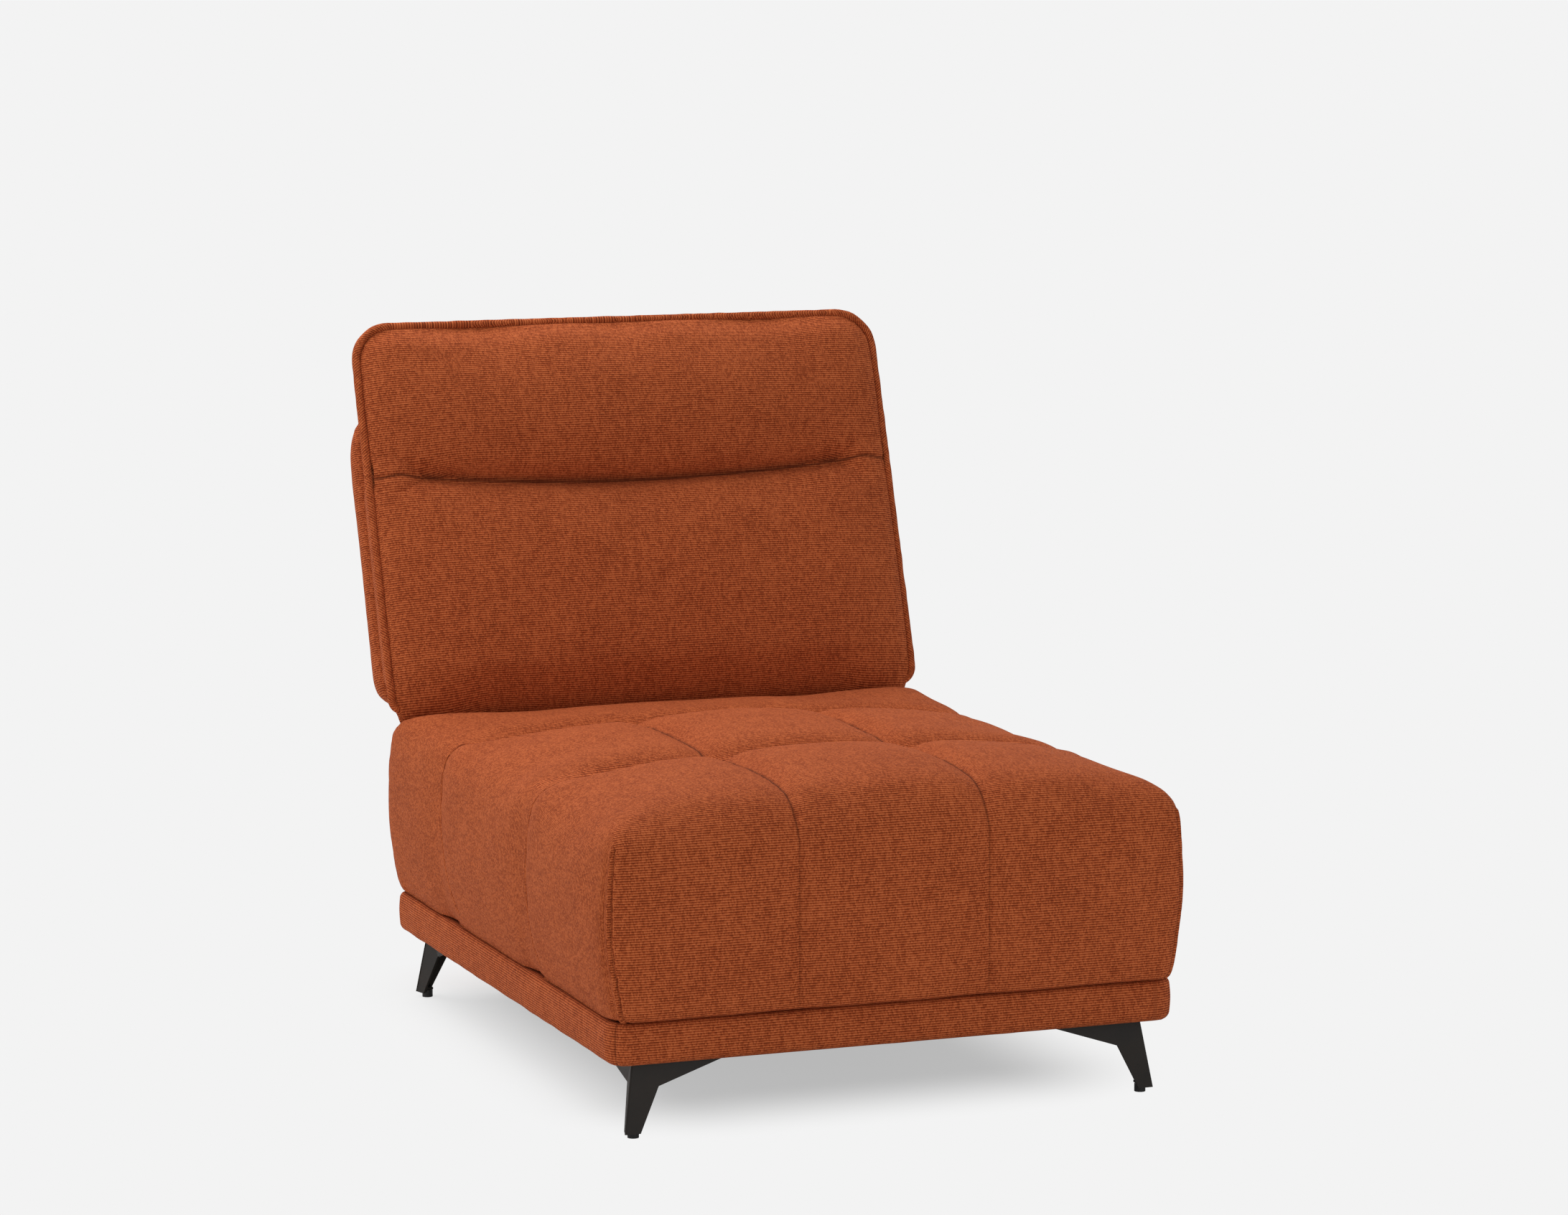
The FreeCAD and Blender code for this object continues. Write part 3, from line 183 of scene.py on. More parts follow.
# Studio: the patch of floor that takes the shadow, its fade into the backdrop and the glow at its middle
BACKDROP = "#f3f3f3"
FLOOR_PAPER = "#e9e9e9"
FLOOR_RADIUS = 120.0
SHADOW_HALF = (0.22, 0.38, 0.0)
SHADOW_FADE = 0.28
SHADOW_GLOW = 0.52
ROOM_GLOW = 0.56
SOFTBOXES = (("softbox_top", (-0.8, 1.35, 3.3), (0, -0.1, 0.3), 3.0, 78.0),
             ("softbox_left", (-3.4, -0.4, 1.9), (0, 0, 0.4), 2.2, 16.0),
             ("low_fill", (0.7, -3.6, 0.3), (0, -0.6, 0.3), 2.0, 13.0))

# The camera that was fitted to the photograph, with its focus in the photograph's own pixels
PHOTO_WIDTH = 2184
CAMERA_FOCUS = 7002.787
SENSOR_WIDTH = 36.0
CAMERA_PLACE = (-2.58418, -6.921115, 1.666624)
CAMERA_DIP = 0.138960
CAMERA_TURN = -0.366039


def place(x, w, u):
    """A point of the back's own plane in the chair's frame."""
    return Vector((x, BACK_Y + w * LEAN_COS + u * LEAN_SIN, BACK_Z - w * LEAN_SIN + u * LEAN_COS))


def lie(points):
    """Points of the chair's frame in the back's own plane."""
    dy = points[:, 1] - BACK_Y
    dz = points[:, 2] - BACK_Z
    w = dy * LEAN_COS - dz * LEAN_SIN
    u = dy * LEAN_SIN + dz * LEAN_COS
    return np.stack([points[:, 0], w, u], axis=1)


def crease_height(x):
    """The crease's height up the back, which sags between its two ends."""
    radius = (FACE_HALF ** 2 + CREASE_SAG ** 2) / (2 * CREASE_SAG)
    return CREASE_END - CREASE_SAG + radius - math.sqrt(radius ** 2 - x ** 2)


# Colours and materials
def colour(text):
    """A sRGB hex colour as Blender's linear colour."""
    channels = [int(text[i:i + 2], 16) / 255 for i in (1, 3, 5)]
    linear = [c / 12.92 if c <= 0.04045 else ((c + 0.055) / 1.055) ** 2.4 for c in channels]
    return (*linear, 1.0)


def add_node(tree, kind, inputs=None, **settings):
    """Adds a node with its settings, and fills or links its inputs."""
    node = tree.nodes.new(kind)
    for name, value in settings.items():
        setattr(node, name, value)
    for key, value in (inputs or {}).items():
        if isinstance(value, bpy.types.NodeSocket):
            tree.links.new(value, node.inputs[key])
        else:
            node.inputs[key].default_value = value
    return node


def calc(tree, operation, a, b=0.0, c=0.0):
    """One math step of a material."""
    return add_node(tree, "ShaderNodeMath", {0: a, 1: b, 2: c}, operation=operation).outputs[0]


def new_material(name):
    """An empty node material and its tree."""
    material = bpy.data.materials.new(name)
    material.use_nodes = True
    material.node_tree.nodes.clear()
    return material, material.node_tree


def close_material(tree, inputs):
    """The surface shader and the output of a material."""
    surface = add_node(tree, "ShaderNodeBsdfPrincipled", inputs)
    add_node(tree, "ShaderNodeOutputMaterial", {"Surface": surface.outputs[0]})


def ramp(tree, factor, stops):
    """A colour ramp between hex colours, each with its place."""
    node = add_node(tree, "ShaderNodeValToRGB", {"Fac": factor})
    node.color_ramp.elements[0].position = stops[0][0]
    node.color_ramp.elements[0].color = colour(stops[0][1])
    node.color_ramp.elements[1].position = stops[-1][0]
    node.color_ramp.elements[1].color = colour(stops[-1][1])
    for position, shade in stops[1:-1]:
        node.color_ramp.elements.new(position).color = colour(shade)
    return node.outputs["Color"]


def raised_wave(tree, turns):
    """A sine from zero to one, once for each turn."""
    wave = calc(tree, "SINE", calc(tree, "MULTIPLY", turns, 2 * math.pi))
    return calc(tree, "MULTIPLY_ADD", wave, 0.5, 0.5)


def ribbed_cloth():
    """Chenille, woven in fine beaded ribs."""
    # It gives the eye soft matt threads, painted shade in the gaps between the ribs and a faint nap at a
    # glance
    look = bpy.context.scene.lounge_chair
    material, tree = new_material("ribbed_chenille")
    weave = add_node(tree, "ShaderNodeUVMap", uv_map="weave").outputs["UV"]
    split = add_node(tree, "ShaderNodeSeparateXYZ", {"Vector": weave})

    # The ribs waver, and the beads of each stand half a step off those of the last
    waver = add_node(tree, "ShaderNodeTexNoise", {"Vector": weave, "Scale": WAVERS, "Detail": 3.0})
    across = calc(tree, "MULTIPLY_ADD", waver.outputs["Fac"], WAVER_REACH, split.outputs["Y"])
    ribs = calc(tree, "DIVIDE", across, look.rib_pitch)
    row = calc(tree, "FLOOR", ribs)
    along = calc(tree, "DIVIDE", split.outputs["X"], look.bead_pitch)
    along = calc(tree, "MULTIPLY_ADD", row, 0.5, along)
    bead = calc(tree, "MULTIPLY_ADD", raised_wave(tree, along), BEAD_SHARE, 1 - BEAD_SHARE)
    fibre = add_node(tree, "ShaderNodeVectorMath", {0: weave, 1: FIBRES}, operation="MULTIPLY").outputs[0]
    fleck = add_node(tree, "ShaderNodeTexNoise", {"Vector": fibre, "Scale": 1.0, "Detail": 3.0})
    height = calc(tree, "MULTIPLY", raised_wave(tree, ribs), bead)
    height = calc(tree, "MULTIPLY_ADD", fleck.outputs["Fac"], 0.5, height)

    # Each bead has its own tone, and slubs and clouds lighten and darken the cloth
    cell = add_node(tree, "ShaderNodeCombineXYZ", {"X": calc(tree, "FLOOR", along), "Y": row}).outputs[0]
    yarn = add_node(tree, "ShaderNodeTexWhiteNoise", {"Vector": cell}, noise_dimensions="2D")
    slub = add_node(tree, "ShaderNodeVectorMath", {0: weave, 1: SLUBS}, operation="MULTIPLY").outputs[0]
    mottle = add_node(tree, "ShaderNodeTexNoise", {"Vector": slub, "Scale": 1.0, "Detail": 4.0,
                                                   "Roughness": 0.65})
    cloud = add_node(tree, "ShaderNodeTexNoise", {"Vector": weave, "Scale": CLOUDS, "Detail": 3.0})
    shade = height
    for tone, weight in ((mottle.outputs["Fac"], 0.60), (yarn.outputs["Value"], 0.50),
                         (cloud.outputs["Fac"], 0.28)):
        shade = calc(tree, "MULTIPLY_ADD", calc(tree, "SUBTRACT", tone, 0.5), weight, shade)
    shade = calc(tree, "SUBTRACT", shade, 0.12)
    # The ramp darkens the low gaps between the ribs, painted shade of the relief, over the beads' own random
    # tones
    dyed = ramp(tree, shade, ((0.0, look.thread_dark_and_gap_shade), (0.48, look.thread_mid), (1.0, look.thread_light)))

    # Seams are darker and have no ribs. The same mix also paints shade under the headrest's lip, along the
    # crease and on the seat's seams where they face up
    seam = add_node(tree, "ShaderNodeAttribute", attribute_name="seam").outputs["Fac"]
    sewn = add_node(tree, "ShaderNodeMix", {0: seam, 6: dyed, 7: colour(SEAM_AND_PAINTED_SHADE)}, data_type="RGBA")
    relief = calc(tree, "MULTIPLY", height, calc(tree, "SUBTRACT", 1.0, seam))
    bump = add_node(tree, "ShaderNodeBump", {"Height": relief, "Strength": 0.55,
                                             "Distance": 0.9 * MILLIMETRE})
    close_material(tree, {"Base Color": sewn.outputs[2], "Roughness": 0.92, "Normal": bump.outputs[0],
                          "Specular IOR Level": 0.15, "Sheen Weight": 0.07, "Sheen Roughness": 0.5,
                          "Sheen Tint": colour(NAP_SHADE)})
    return material


def powder_coat():
    """Folded sheet steel with a baked powder coat."""
    # It gives the eye a satin near-black brown, with orange peel of about 1 mm and tones over 4 cm
    material, tree = new_material("powder_coated_steel")
    spot = add_node(tree, "ShaderNodeTexCoord").outputs["Object"]
    grain = add_node(tree, "ShaderNodeTexNoise", {"Vector": spot, "Scale": 900.0, "Detail": 2.0})
    wear = add_node(tree, "ShaderNodeTexNoise", {"Vector": spot, "Scale": 24.0, "Detail": 4.0})
    coat = ramp(tree, wear.outputs["Fac"], ((0.3, "#150f09"), (0.75, "#1f170e")))
    rough = calc(tree, "MULTIPLY_ADD", grain.outputs["Fac"], 0.2, 0.36)
    bump = add_node(tree, "ShaderNodeBump", {"Height": grain.outputs["Fac"], "Strength": 0.25,
                                             "Distance": 0.15 * MILLIMETRE})
    close_material(tree, {"Base Color": coat, "Roughness": rough, "Normal": bump.outputs[0],
                          "Specular IOR Level": 0.25})
    return material


def planed_wood(name, pale, dark, ring):
    """Beech or birch plywood, planed."""
    # It gives the eye long growth rings along the piece and fine pores of about 2 mm, a little matt
    material, tree = new_material(name)
    spot = add_node(tree, "ShaderNodeTexCoord").outputs["Object"]
    turned = add_node(tree, "ShaderNodeMapping", {"Vector": spot, "Scale": (1.0, 6.0, 6.0)}).outputs[0]
    grain = add_node(tree, "ShaderNodeTexNoise", {"Vector": turned, "Scale": ring, "Detail": 6.0,
                                                  "Distortion": 0.8})
    pore = add_node(tree, "ShaderNodeTexNoise", {"Vector": turned, "Scale": 420.0, "Detail": 2.0})
    rings = calc(tree, "MULTIPLY", grain.outputs["Fac"], 0.85)
    mixed = calc(tree, "MULTIPLY_ADD", pore.outputs["Fac"], 0.25, rings)
    tone = ramp(tree, mixed, ((0.3, dark), (0.75, pale)))
    bump = add_node(tree, "ShaderNodeBump", {"Height": pore.outputs["Fac"], "Strength": 0.3,
                                             "Distance": 0.2 * MILLIMETRE})
    close_material(tree, {"Base Color": tone, "Roughness": 0.62, "Normal": bump.outputs[0]})
    return material


def bright_steel(name, tone, rough, scale):
    """Zinc-plated or turned steel."""
    # It gives the eye a cool grey metal, whose plating or tool marks of a few millimetres change its gloss
    material, tree = new_material(name)
    spot = add_node(tree, "ShaderNodeTexCoord").outputs["Object"]
    marks = add_node(tree, "ShaderNodeTexNoise", {"Vector": spot, "Scale": scale, "Detail": 5.0})
    plate = ramp(tree, marks.outputs["Fac"], ((0.3, tone[0]), (0.7, tone[1])))
    gloss = calc(tree, "MULTIPLY_ADD", marks.outputs["Fac"], 0.18, rough)
    close_material(tree, {"Base Color": plate, "Metallic": 1.0, "Roughness": gloss})
    return material


def moulded_plastic(name, tone, rough):
    """Nylon or polypropylene, moulded."""
    # It gives the eye an even, half-matt skin. The grain is drawn coarser than the real one, at 0.7 mm
    material, tree = new_material(name)
    spot = add_node(tree, "ShaderNodeTexCoord").outputs["Object"]
    grain = add_node(tree, "ShaderNodeTexNoise", {"Vector": spot, "Scale": 1400.0, "Detail": 2.0})
    skin = ramp(tree, grain.outputs["Fac"], ((0.35, tone[0]), (0.65, tone[1])))
    bump = add_node(tree, "ShaderNodeBump", {"Height": grain.outputs["Fac"], "Strength": 0.3,
                                             "Distance": 0.1 * MILLIMETRE})
    close_material(tree, {"Base Color": skin, "Roughness": rough, "IOR": 1.46, "Normal": bump.outputs[0]})
    return material


def open_cell_foam():
    """Polyurethane foam, cut from a block."""
    # It gives the eye a pale spongy surface. Its cells are drawn at 2.4 mm, coarser than the real ones
    material, tree = new_material("polyurethane_foam")
    spot = add_node(tree, "ShaderNodeTexCoord").outputs["Object"]
    cells = add_node(tree, "ShaderNodeTexVoronoi", {"Vector": spot, "Scale": 420.0}).outputs["Distance"]
    tone = ramp(tree, cells, ((0.0, "#c9bd96"), (0.6, "#efe7c9")))
    bump = add_node(tree, "ShaderNodeBump", {"Height": cells, "Strength": 0.7, "Distance": 1.2 * MILLIMETRE})
    close_material(tree, {"Base Color": tone, "Roughness": 0.95, "Normal": bump.outputs[0]})
    return material


def strap_weave(name, tone, pitch):
    """Elastic webbing or spunbond lining."""
    # It gives the eye crossing threads that show as a small matt check
    material, tree = new_material(name)
    spot = add_node(tree, "ShaderNodeTexCoord").outputs["Object"]
    split = add_node(tree, "ShaderNodeSeparateXYZ", {"Vector": spot})
    lanes = [calc(tree, "SINE", calc(tree, "MULTIPLY", split.outputs[axis], 2 * math.pi / pitch))
             for axis in ("X", "Y")]
    check = calc(tree, "MULTIPLY_ADD", calc(tree, "MULTIPLY", lanes[0], lanes[1]), 0.5, 0.5)
    tones = ramp(tree, check, ((0.0, tone[0]), (1.0, tone[1])))
    bump = add_node(tree, "ShaderNodeBump", {"Height": check, "Strength": 0.5, "Distance": 0.3 * MILLIMETRE})
    close_material(tree, {"Base Color": tones, "Roughness": 0.9, "Normal": bump.outputs[0],
                          "Specular IOR Level": 0.2})
    return material


# Meshes
def link_piece(name, mesh):
    """Puts a mesh into the scene as a piece at the origin."""
    piece = bpy.data.objects.new(name, mesh)
    bpy.context.scene.collection.objects.link(piece)
    return piece


def bake_modifiers(piece):
    """Leaves the piece with the mesh that its modifiers make."""
    graph = bpy.context.evaluated_depsgraph_get()
    mesh = bpy.data.meshes.new_from_object(piece.evaluated_get(graph))
    piece.modifiers.clear()
    old = piece.data
    piece.data = mesh
    bpy.data.meshes.remove(old)


def coordinates(mesh):
    """The points of a mesh, one row each."""
    points = np.empty(len(mesh.vertices) * 3)
    mesh.vertices.foreach_get("co", points)
    return points.reshape(-1, 3)


def normals(mesh):
    """The direction that each point of a mesh faces."""
    directions = np.empty(len(mesh.vertices) * 3)
    mesh.vertices.foreach_get("normal", directions)
    return directions.reshape(-1, 3)


def set_coordinates(mesh, points):
    """Moves the points of a mesh."""
    mesh.vertices.foreach_set("co", points.ravel())
    mesh.update()


def filler(bm, centre, size, leaning):
    """A block that closes a frame pocket inside a cushion, which the cloth never follows."""
    turn = Matrix.Rotation(-BACK_LEAN, 4, "X") if leaning else Matrix.Identity(4)
    scale = Matrix.Diagonal((*size, 1.0))
    bmesh.ops.create_cube(bm, size=1.0, matrix=Matrix.Translation(centre) @ turn @ scale)


def padded_copy(node, name, voxel, fillers=(), leaning=False, ease=2):
    """A closed, evenly meshed copy of a soft solid, ready for the cloth."""
    bm = bmesh.new()
    bm.from_mesh(frame["nodes"][node].data)
    bmesh.ops.remove_doubles(bm, verts=bm.verts, dist=WELD)
    for centre, size in fillers:
        filler(bm, centre, size, leaning)
    mesh = bpy.data.meshes.new(name)
    bm.to_mesh(mesh)
    bm.free()
    piece = link_piece(name, mesh)
    mesh.materials.clear()
    remesh = piece.modifiers.new("even_mesh", "REMESH")
    remesh.mode = "VOXEL"
    remesh.voxel_size = voxel
    bake_modifiers(piece)
    bm = bmesh.new()
    bm.from_mesh(piece.data)
    for _ in range(ease):
        bmesh.ops.smooth_vert(bm, verts=bm.verts, factor=0.5, use_axis_x=True, use_axis_y=True,
                              use_axis_z=True)
    bm.to_mesh(piece.data)
    bm.free()
    return piece


def even_out(mesh, values, rounds):
    """Spreads values over neighbouring points, which takes small buckles out of a move."""
    ends = np.empty(len(mesh.edges) * 2, dtype=np.int64)
    mesh.edges.foreach_get("vertices", ends)
    first, second = ends.reshape(-1, 2).T
    count = np.bincount(ends, minlength=len(values)).astype(float)[:, None]
    for _ in range(rounds):
        total = np.zeros_like(values)
        for axis in range(values.shape[1]):
            total[:, axis] += np.bincount(first, values[second, axis], minlength=len(values))
            total[:, axis] += np.bincount(second, values[first, axis], minlength=len(values))
        values = 0.5 * values + 0.5 * total / np.maximum(count, 1)
    return values


def swell(piece, hold, pressure, cap, frames=20, easing=14):
    """Blows the cover up with cloth, holds the points whose weight is one, and caps each move."""
    scene = bpy.context.scene
    start = coordinates(piece.data)
    group = piece.vertex_groups.new(name="held")
    for index in np.nonzero(hold > 0)[0]:
        group.add([int(index)], float(hold[index]), "REPLACE")
    cloth = piece.modifiers.new("cover", "CLOTH")
    settings = cloth.settings
    settings.quality = 4
    settings.mass = 0.3
    settings.tension_stiffness = 18
    settings.compression_stiffness = 18
    settings.shear_stiffness = 6
    settings.bending_stiffness = 1.5
    settings.vertex_group_mass = "held"
    settings.use_pressure = True
    settings.uniform_pressure_force = pressure
    settings.effector_weights.gravity = 0.0
    cloth.collision_settings.use_self_collision = False
    cloth.point_cache.frame_start = 1
    cloth.point_cache.frame_end = frames
    for step in range(1, frames + 1):
        scene.frame_set(step)
    graph = bpy.context.evaluated_depsgraph_get()
    moved = coordinates(piece.evaluated_get(graph).data)
    piece.modifiers.clear()
    piece.vertex_groups.clear()
    shift = moved - start
    length = np.linalg.norm(shift, axis=1)
    shift *= np.minimum(1.0, cap / np.maximum(length, TINY))[:, None]
    free = (hold < 0.999)[:, None]
    set_coordinates(piece.data, start + even_out(piece.data, shift, easing) * free)
    scene.frame_set(1)


def subdivide(piece):
    """Rounds the cover's faces once, after the cloth."""
    finer = piece.modifiers.new("finer", "SUBSURF")
    finer.levels = 1
    finer.render_levels = 1
    bake_modifiers(piece)


def ripple(piece, amount, size, seed, weight=None):
    """Slight hollows and swells of a stuffed cover, along its normals."""
    points = coordinates(piece.data)
    directions = normals(piece.data)
    offset = Vector((seed, seed * 0.7, -seed))
    waves = np.array([noise.noise(Vector(p) / size + offset) for p in points])
    if weight is not None:
        waves *= weight
    set_coordinates(piece.data, points + directions * (waves * amount)[:, None])


def refine(piece, near):
    """Finer faces where the seams run."""
    bm = bmesh.new()
    bm.from_mesh(piece.data)
    bm.verts.ensure_lookup_table()
    edges = [e for e in bm.edges if near[e.verts[0].index] and near[e.verts[1].index]]
    bmesh.ops.subdivide_edges(bm, edges=edges, cuts=2, use_grid_fill=True)
    bm.to_mesh(piece.data)
    bm.free()


def add_seam(piece, values):
    """Stores how dark each point of the cloth is painted: its sewn lines, and painted shade under the
    headrest's lip, along the crease and on the seat's upward seams.
    """
    layer = piece.data.attributes.get("seam") or piece.data.attributes.new("seam", "FLOAT", "POINT")
    layer.data.foreach_set("value", np.clip(values, 0, 1).astype(np.float32))


def section(piece, centre, first, second, start, stop, steps=360, layers=6):
    """A cut through the cover: its points along two directions and the cloth's length between them."""
    tree = BVHTree.FromObject(piece, bpy.context.evaluated_depsgraph_get())
    found = []
    for step in range(steps + 1):
        angle = start + (stop - start) * step / steps
        direction = first * math.cos(angle) + second * math.sin(angle)
        outermost = None
        origin = centre.copy()
        for _ in range(layers):
            hit = tree.ray_cast(origin, direction)[0]
            if hit is None:
                break
            outermost = hit
            origin = hit + direction * 0.1 * MILLIMETRE
        if outermost is not None:
            found.append(outermost)
    if not found:
        raise RuntimeError(f"No cut was found through {piece.name}")
    flat = np.array([(p.dot(first), p.dot(second)) for p in found])
    lengths = np.concatenate([[0.0], np.cumsum(np.linalg.norm(np.diff(flat, axis=0), axis=1))])
    return flat, lengths


def follow(flat, lengths, pairs, batch=4000):
    """The cloth's length at the nearest place of a cut, for many points."""
    result = np.empty(len(pairs))
    for low in range(0, len(pairs), batch):
        part = pairs[low:low + batch]
        gap = ((part[:, None, :] - flat[None, :, :]) ** 2).sum(axis=2)
        nearest = np.clip(gap.argmin(axis=1), 1, len(flat) - 2)
        tangent = flat[nearest + 1] - flat[nearest - 1]
        run = np.maximum(np.linalg.norm(tangent, axis=1), TINY)
        shift = ((part - flat[nearest]) * tangent).sum(axis=1) / run
        result[low:low + batch] = lengths[nearest] + shift
    return result


def face_normals(mesh):
    """The direction that each face of a mesh faces."""
    directions = np.empty(len(mesh.polygons) * 3)
    mesh.polygons.foreach_get("normal", directions)
    return directions.reshape(-1, 3)


def set_weave(piece, choices, classes):
    """Lays the threads: choices hold lengths along and across, and classes pick one for each face."""
    mesh = piece.data
    layer = mesh.uv_layers.get("weave") or mesh.uv_layers.new(name="weave")
    corners = np.empty(len(mesh.loops), dtype=np.int64)
    mesh.loops.foreach_get("vertex_index", corners)
    totals = np.empty(len(mesh.polygons), dtype=np.int64)
    mesh.polygons.foreach_get("loop_total", totals)
    owner = np.repeat(classes, totals)
    uv = np.empty((len(corners), 2))
    for index, (along, across) in enumerate(choices):
        mine = owner == index
        uv[mine, 0] = along[corners[mine]]
        uv[mine, 1] = across[corners[mine]]
    layer.data.foreach_set("uv", uv.ravel())


def finish_soft(piece, body, nodes):
    """The cloth, the body it rides on and the solids it stands for, which it hides."""
    mesh = piece.data
    mesh.materials.clear()
    mesh.materials.append(bpy.data.materials["ribbed_chenille"])
    mesh.polygons.foreach_set("use_smooth", [True] * len(mesh.polygons))
    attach(piece, body)
    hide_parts(*nodes)


# Seat
def side_lean(z, seam_y, shares):
    """Where a row seam runs on the seat's side at each height."""
    heights = [SEAT_BOTTOM + SEAT_SIDE_HEIGHT * s for s, _ in shares]
    leans = [seam_y - SEAM_LEAN * lean for _, lean in shares]
    return np.interp(z, heights, leans)


def corner_lines(points, side, front, levels=24, band=0.008, outermost=6, span=5):
    """The upright line of a seat corner: its x and y at each height."""
    heights = np.linspace(SEAT_BOTTOM, SEAT_BOTTOM + SEAT_SIDE_HEIGHT, levels)
    reach = side * points[:, 0] + front * points[:, 1]
    xs = []
    ys = []
    for z in heights:
        near = np.nonzero(np.abs(points[:, 2] - z) < band)[0]
        best = near[np.argsort(reach[near])[-outermost:]]
        xs.append(points[best, 0].mean())
        ys.append(points[best, 1].mean())
    kernel = np.ones(span) / span
    smooth = [np.convolve(np.pad(v, span // 2, mode="edge"), kernel, mode="valid") for v in (xs, ys)]
    return heights, smooth[0], smooth[1]


def seat_seams(points, directions, corners, wall=0.40, under=-0.3, front_foot=0.30, corner_reach=0.05):
    """Distances to the seat's seams: columns and rows, and the corner seams as a signed distance."""
    x, y, z = points.T
    on_side = (np.abs(directions[:, 0]) > 0.75) | (np.abs(x) > wall)
    row = np.full(len(points), 1.0)
    for seam_y, shares in ((NEAR_SEAM_Y, NEAR_SEAM_SHARES), (FAR_SEAM_Y, FAR_SEAM_SHARES)):
        row = np.minimum(row, np.abs(y - side_lean(z, seam_y, shares)))
    row[(directions[:, 2] < under) | ((z < front_foot) & ~on_side)] = 1.0
    column = np.min([np.abs(x - s) for s in COLUMN_SEAMS], axis=0)
    column[(y > FAR_SEAM_Y) | (directions[:, 2] < under)] = 1.0
    corner = np.full(len(points), 1.0)
    for side, front, heights, xs, ys in corners:
        dx = (np.interp(z, heights, xs) - x) * side
        dy = (np.interp(z, heights, ys) - y) * front
        signed = dy - dx
        close = (np.hypot(dx, dy) < corner_reach) & (z < SEAT_BOTTOM + SEAT_SIDE_HEIGHT + 0.012)
        corner = np.where(close & (np.abs(signed) < np.abs(corner)), signed, corner)
    return row, column, corner


def smooth_step(values, low, high):
    """Rises smoothly from zero to one between two values."""
    share = np.clip((values - low) / (high - low), 0, 1)
    return share * share * (3 - 2 * share)


def bell(distance, width):
    """One on a line, and fading smoothly beside it."""
    return np.exp(-(distance / width) ** 2)


def level_foot(piece, middle_y=-0.117, half=0.46, rounds=60):
    """Takes the valleys out of the seat's lowest edge, where it stands on the plinth."""
    points = coordinates(piece.data)
    low = 1 - smooth_step(points[:, 2], SEAT_BOTTOM + 0.012, SEAT_BOTTOM + 0.055)
    wall = np.abs(normals(piece.data)[:, 0]) > 0.5
    share = (low * wall * (np.abs(points[:, 1] - middle_y) < half))[:, None]
    sides = even_out(piece.data, points[:, :1], rounds)
    points[:, :1] += (sides - points[:, :1]) * share
    set_coordinates(piece.data, points)


def sewn_in(points, directions, corners):
    """How deep the cover is drawn in at each point, in millimetres, and how dark its sewn lines are, with
    painted shade where they face up.
    """
    row, column, corner = seat_seams(points, directions, corners)
    sewn = np.minimum(row, column)
    pucker = np.array([noise.noise(Vector(p) / PUCKER_SIZE) for p in points])
    upward = np.clip(directions[:, 2], 0, 1)
    channel = (1.0 + PUCKER * upward) * bell(sewn, CHANNEL_WIDTH) * (1 + PUCKER * pucker)
    level = 1 - smooth_step(np.abs(points[:, 0]), *ROW_DIP_ENDS)
    dip = ROW_DIP * level * bell(row, ROW_DIP_WIDTH) + COLUMN_DIP * bell(column, COLUMN_DIP_WIDTH)
    depth = THREAD_DEPTH * bell(sewn, THREAD_WIDTH) + channel + upward ** 2 * dip
    depth *= smooth_step(points[:, 2], SEAT_BOTTOM + 0.002, SEAT_BOTTOM + 0.030)
    for beside, width, amount in CORNER_PROFILE:
        depth += amount * bell(corner - beside, width)
    # The sewn lines are darker and wider where the cover faces up: partly their own darker tone, partly
    # painted shade of the deeper valleys on top
    seam = (0.40 + 0.50 * upward) * bell(sewn, 0.0014 + 0.0004 * upward)
    seam += 0.45 * bell(corner - CORNER_STITCH, 0.0013)
    return depth, seam


def make_seat_cover():
    """The seat's stuffed cover with its rows and columns of puffs."""
    piece = padded_copy("seat_cushion", "seat_cover", SEAT_VOXEL, [(Vector(SEAT_POCKET[0]), SEAT_POCKET[1])])
    points = coordinates(piece.data)
    directions = normals(piece.data)
    corners = [(side, front, *corner_lines(points, side, front)) for side in (-1, 1) for front in (-1, 1)]
    row, column, corner = seat_seams(points, directions, corners)
    nearest = np.minimum(np.minimum(row, column), np.abs(corner))
    hold = np.clip(1.0 - (nearest - SEAM_HOLD) / SEAM_HOLD_FADE, 0, 1)
    hold *= smooth_step(points[:, 2], *HOLD_RISE)
    hold[(directions[:, 2] < -0.35) | (points[:, 2] < SEAT_BOTTOM + FOOT_HOLD)] = 1.0
    swell(piece, hold, PAD_PRESSURE, SEAT_SWELL)
    subdivide(piece)
    level_foot(piece)
    ripple(piece, amount=1.6 * MILLIMETRE, size=0.09, seed=3.1)

    # Finer faces at the seams, and then the sewing
    row, column, corner = seat_seams(coordinates(piece.data), normals(piece.data), corners)
    nearest = np.minimum(np.minimum(row, column), np.abs(corner))
    refine(piece, nearest < FINE_MESH_REACH)
    points = coordinates(piece.data)
    directions = normals(piece.data)
    depth, seam = sewn_in(points, directions, corners)
    moved = points - directions * (depth * MILLIMETRE)[:, None]
    raised = smooth_step(points[:, 1], 0.14, 0.34) * smooth_step(np.abs(points[:, 0]), 0.20, 0.40)
    moved[:, 2] += REAR_CORNER_RISE * raised * smooth_step(points[:, 2], 0.28, 0.38)
    set_coordinates(piece.data, moved)
    add_seam(piece, seam)
    lay_seat_weave(piece)
    finish_soft(piece, "base", ["seat_cushion"])


def top_run(flat, lengths, values, top_z=0.43):
    """The cloth's length over the seat's top at each value, carried on straight past the top's ends."""
    top = flat[:, 1] > top_z
    order = np.argsort(-flat[top, 0])
    known = -flat[top, 0][order]
    run = lengths[top][order]
    past = np.minimum(values - known[0], 0) + np.maximum(values - known[-1], 0)
    return np.interp(values, known, run) + past


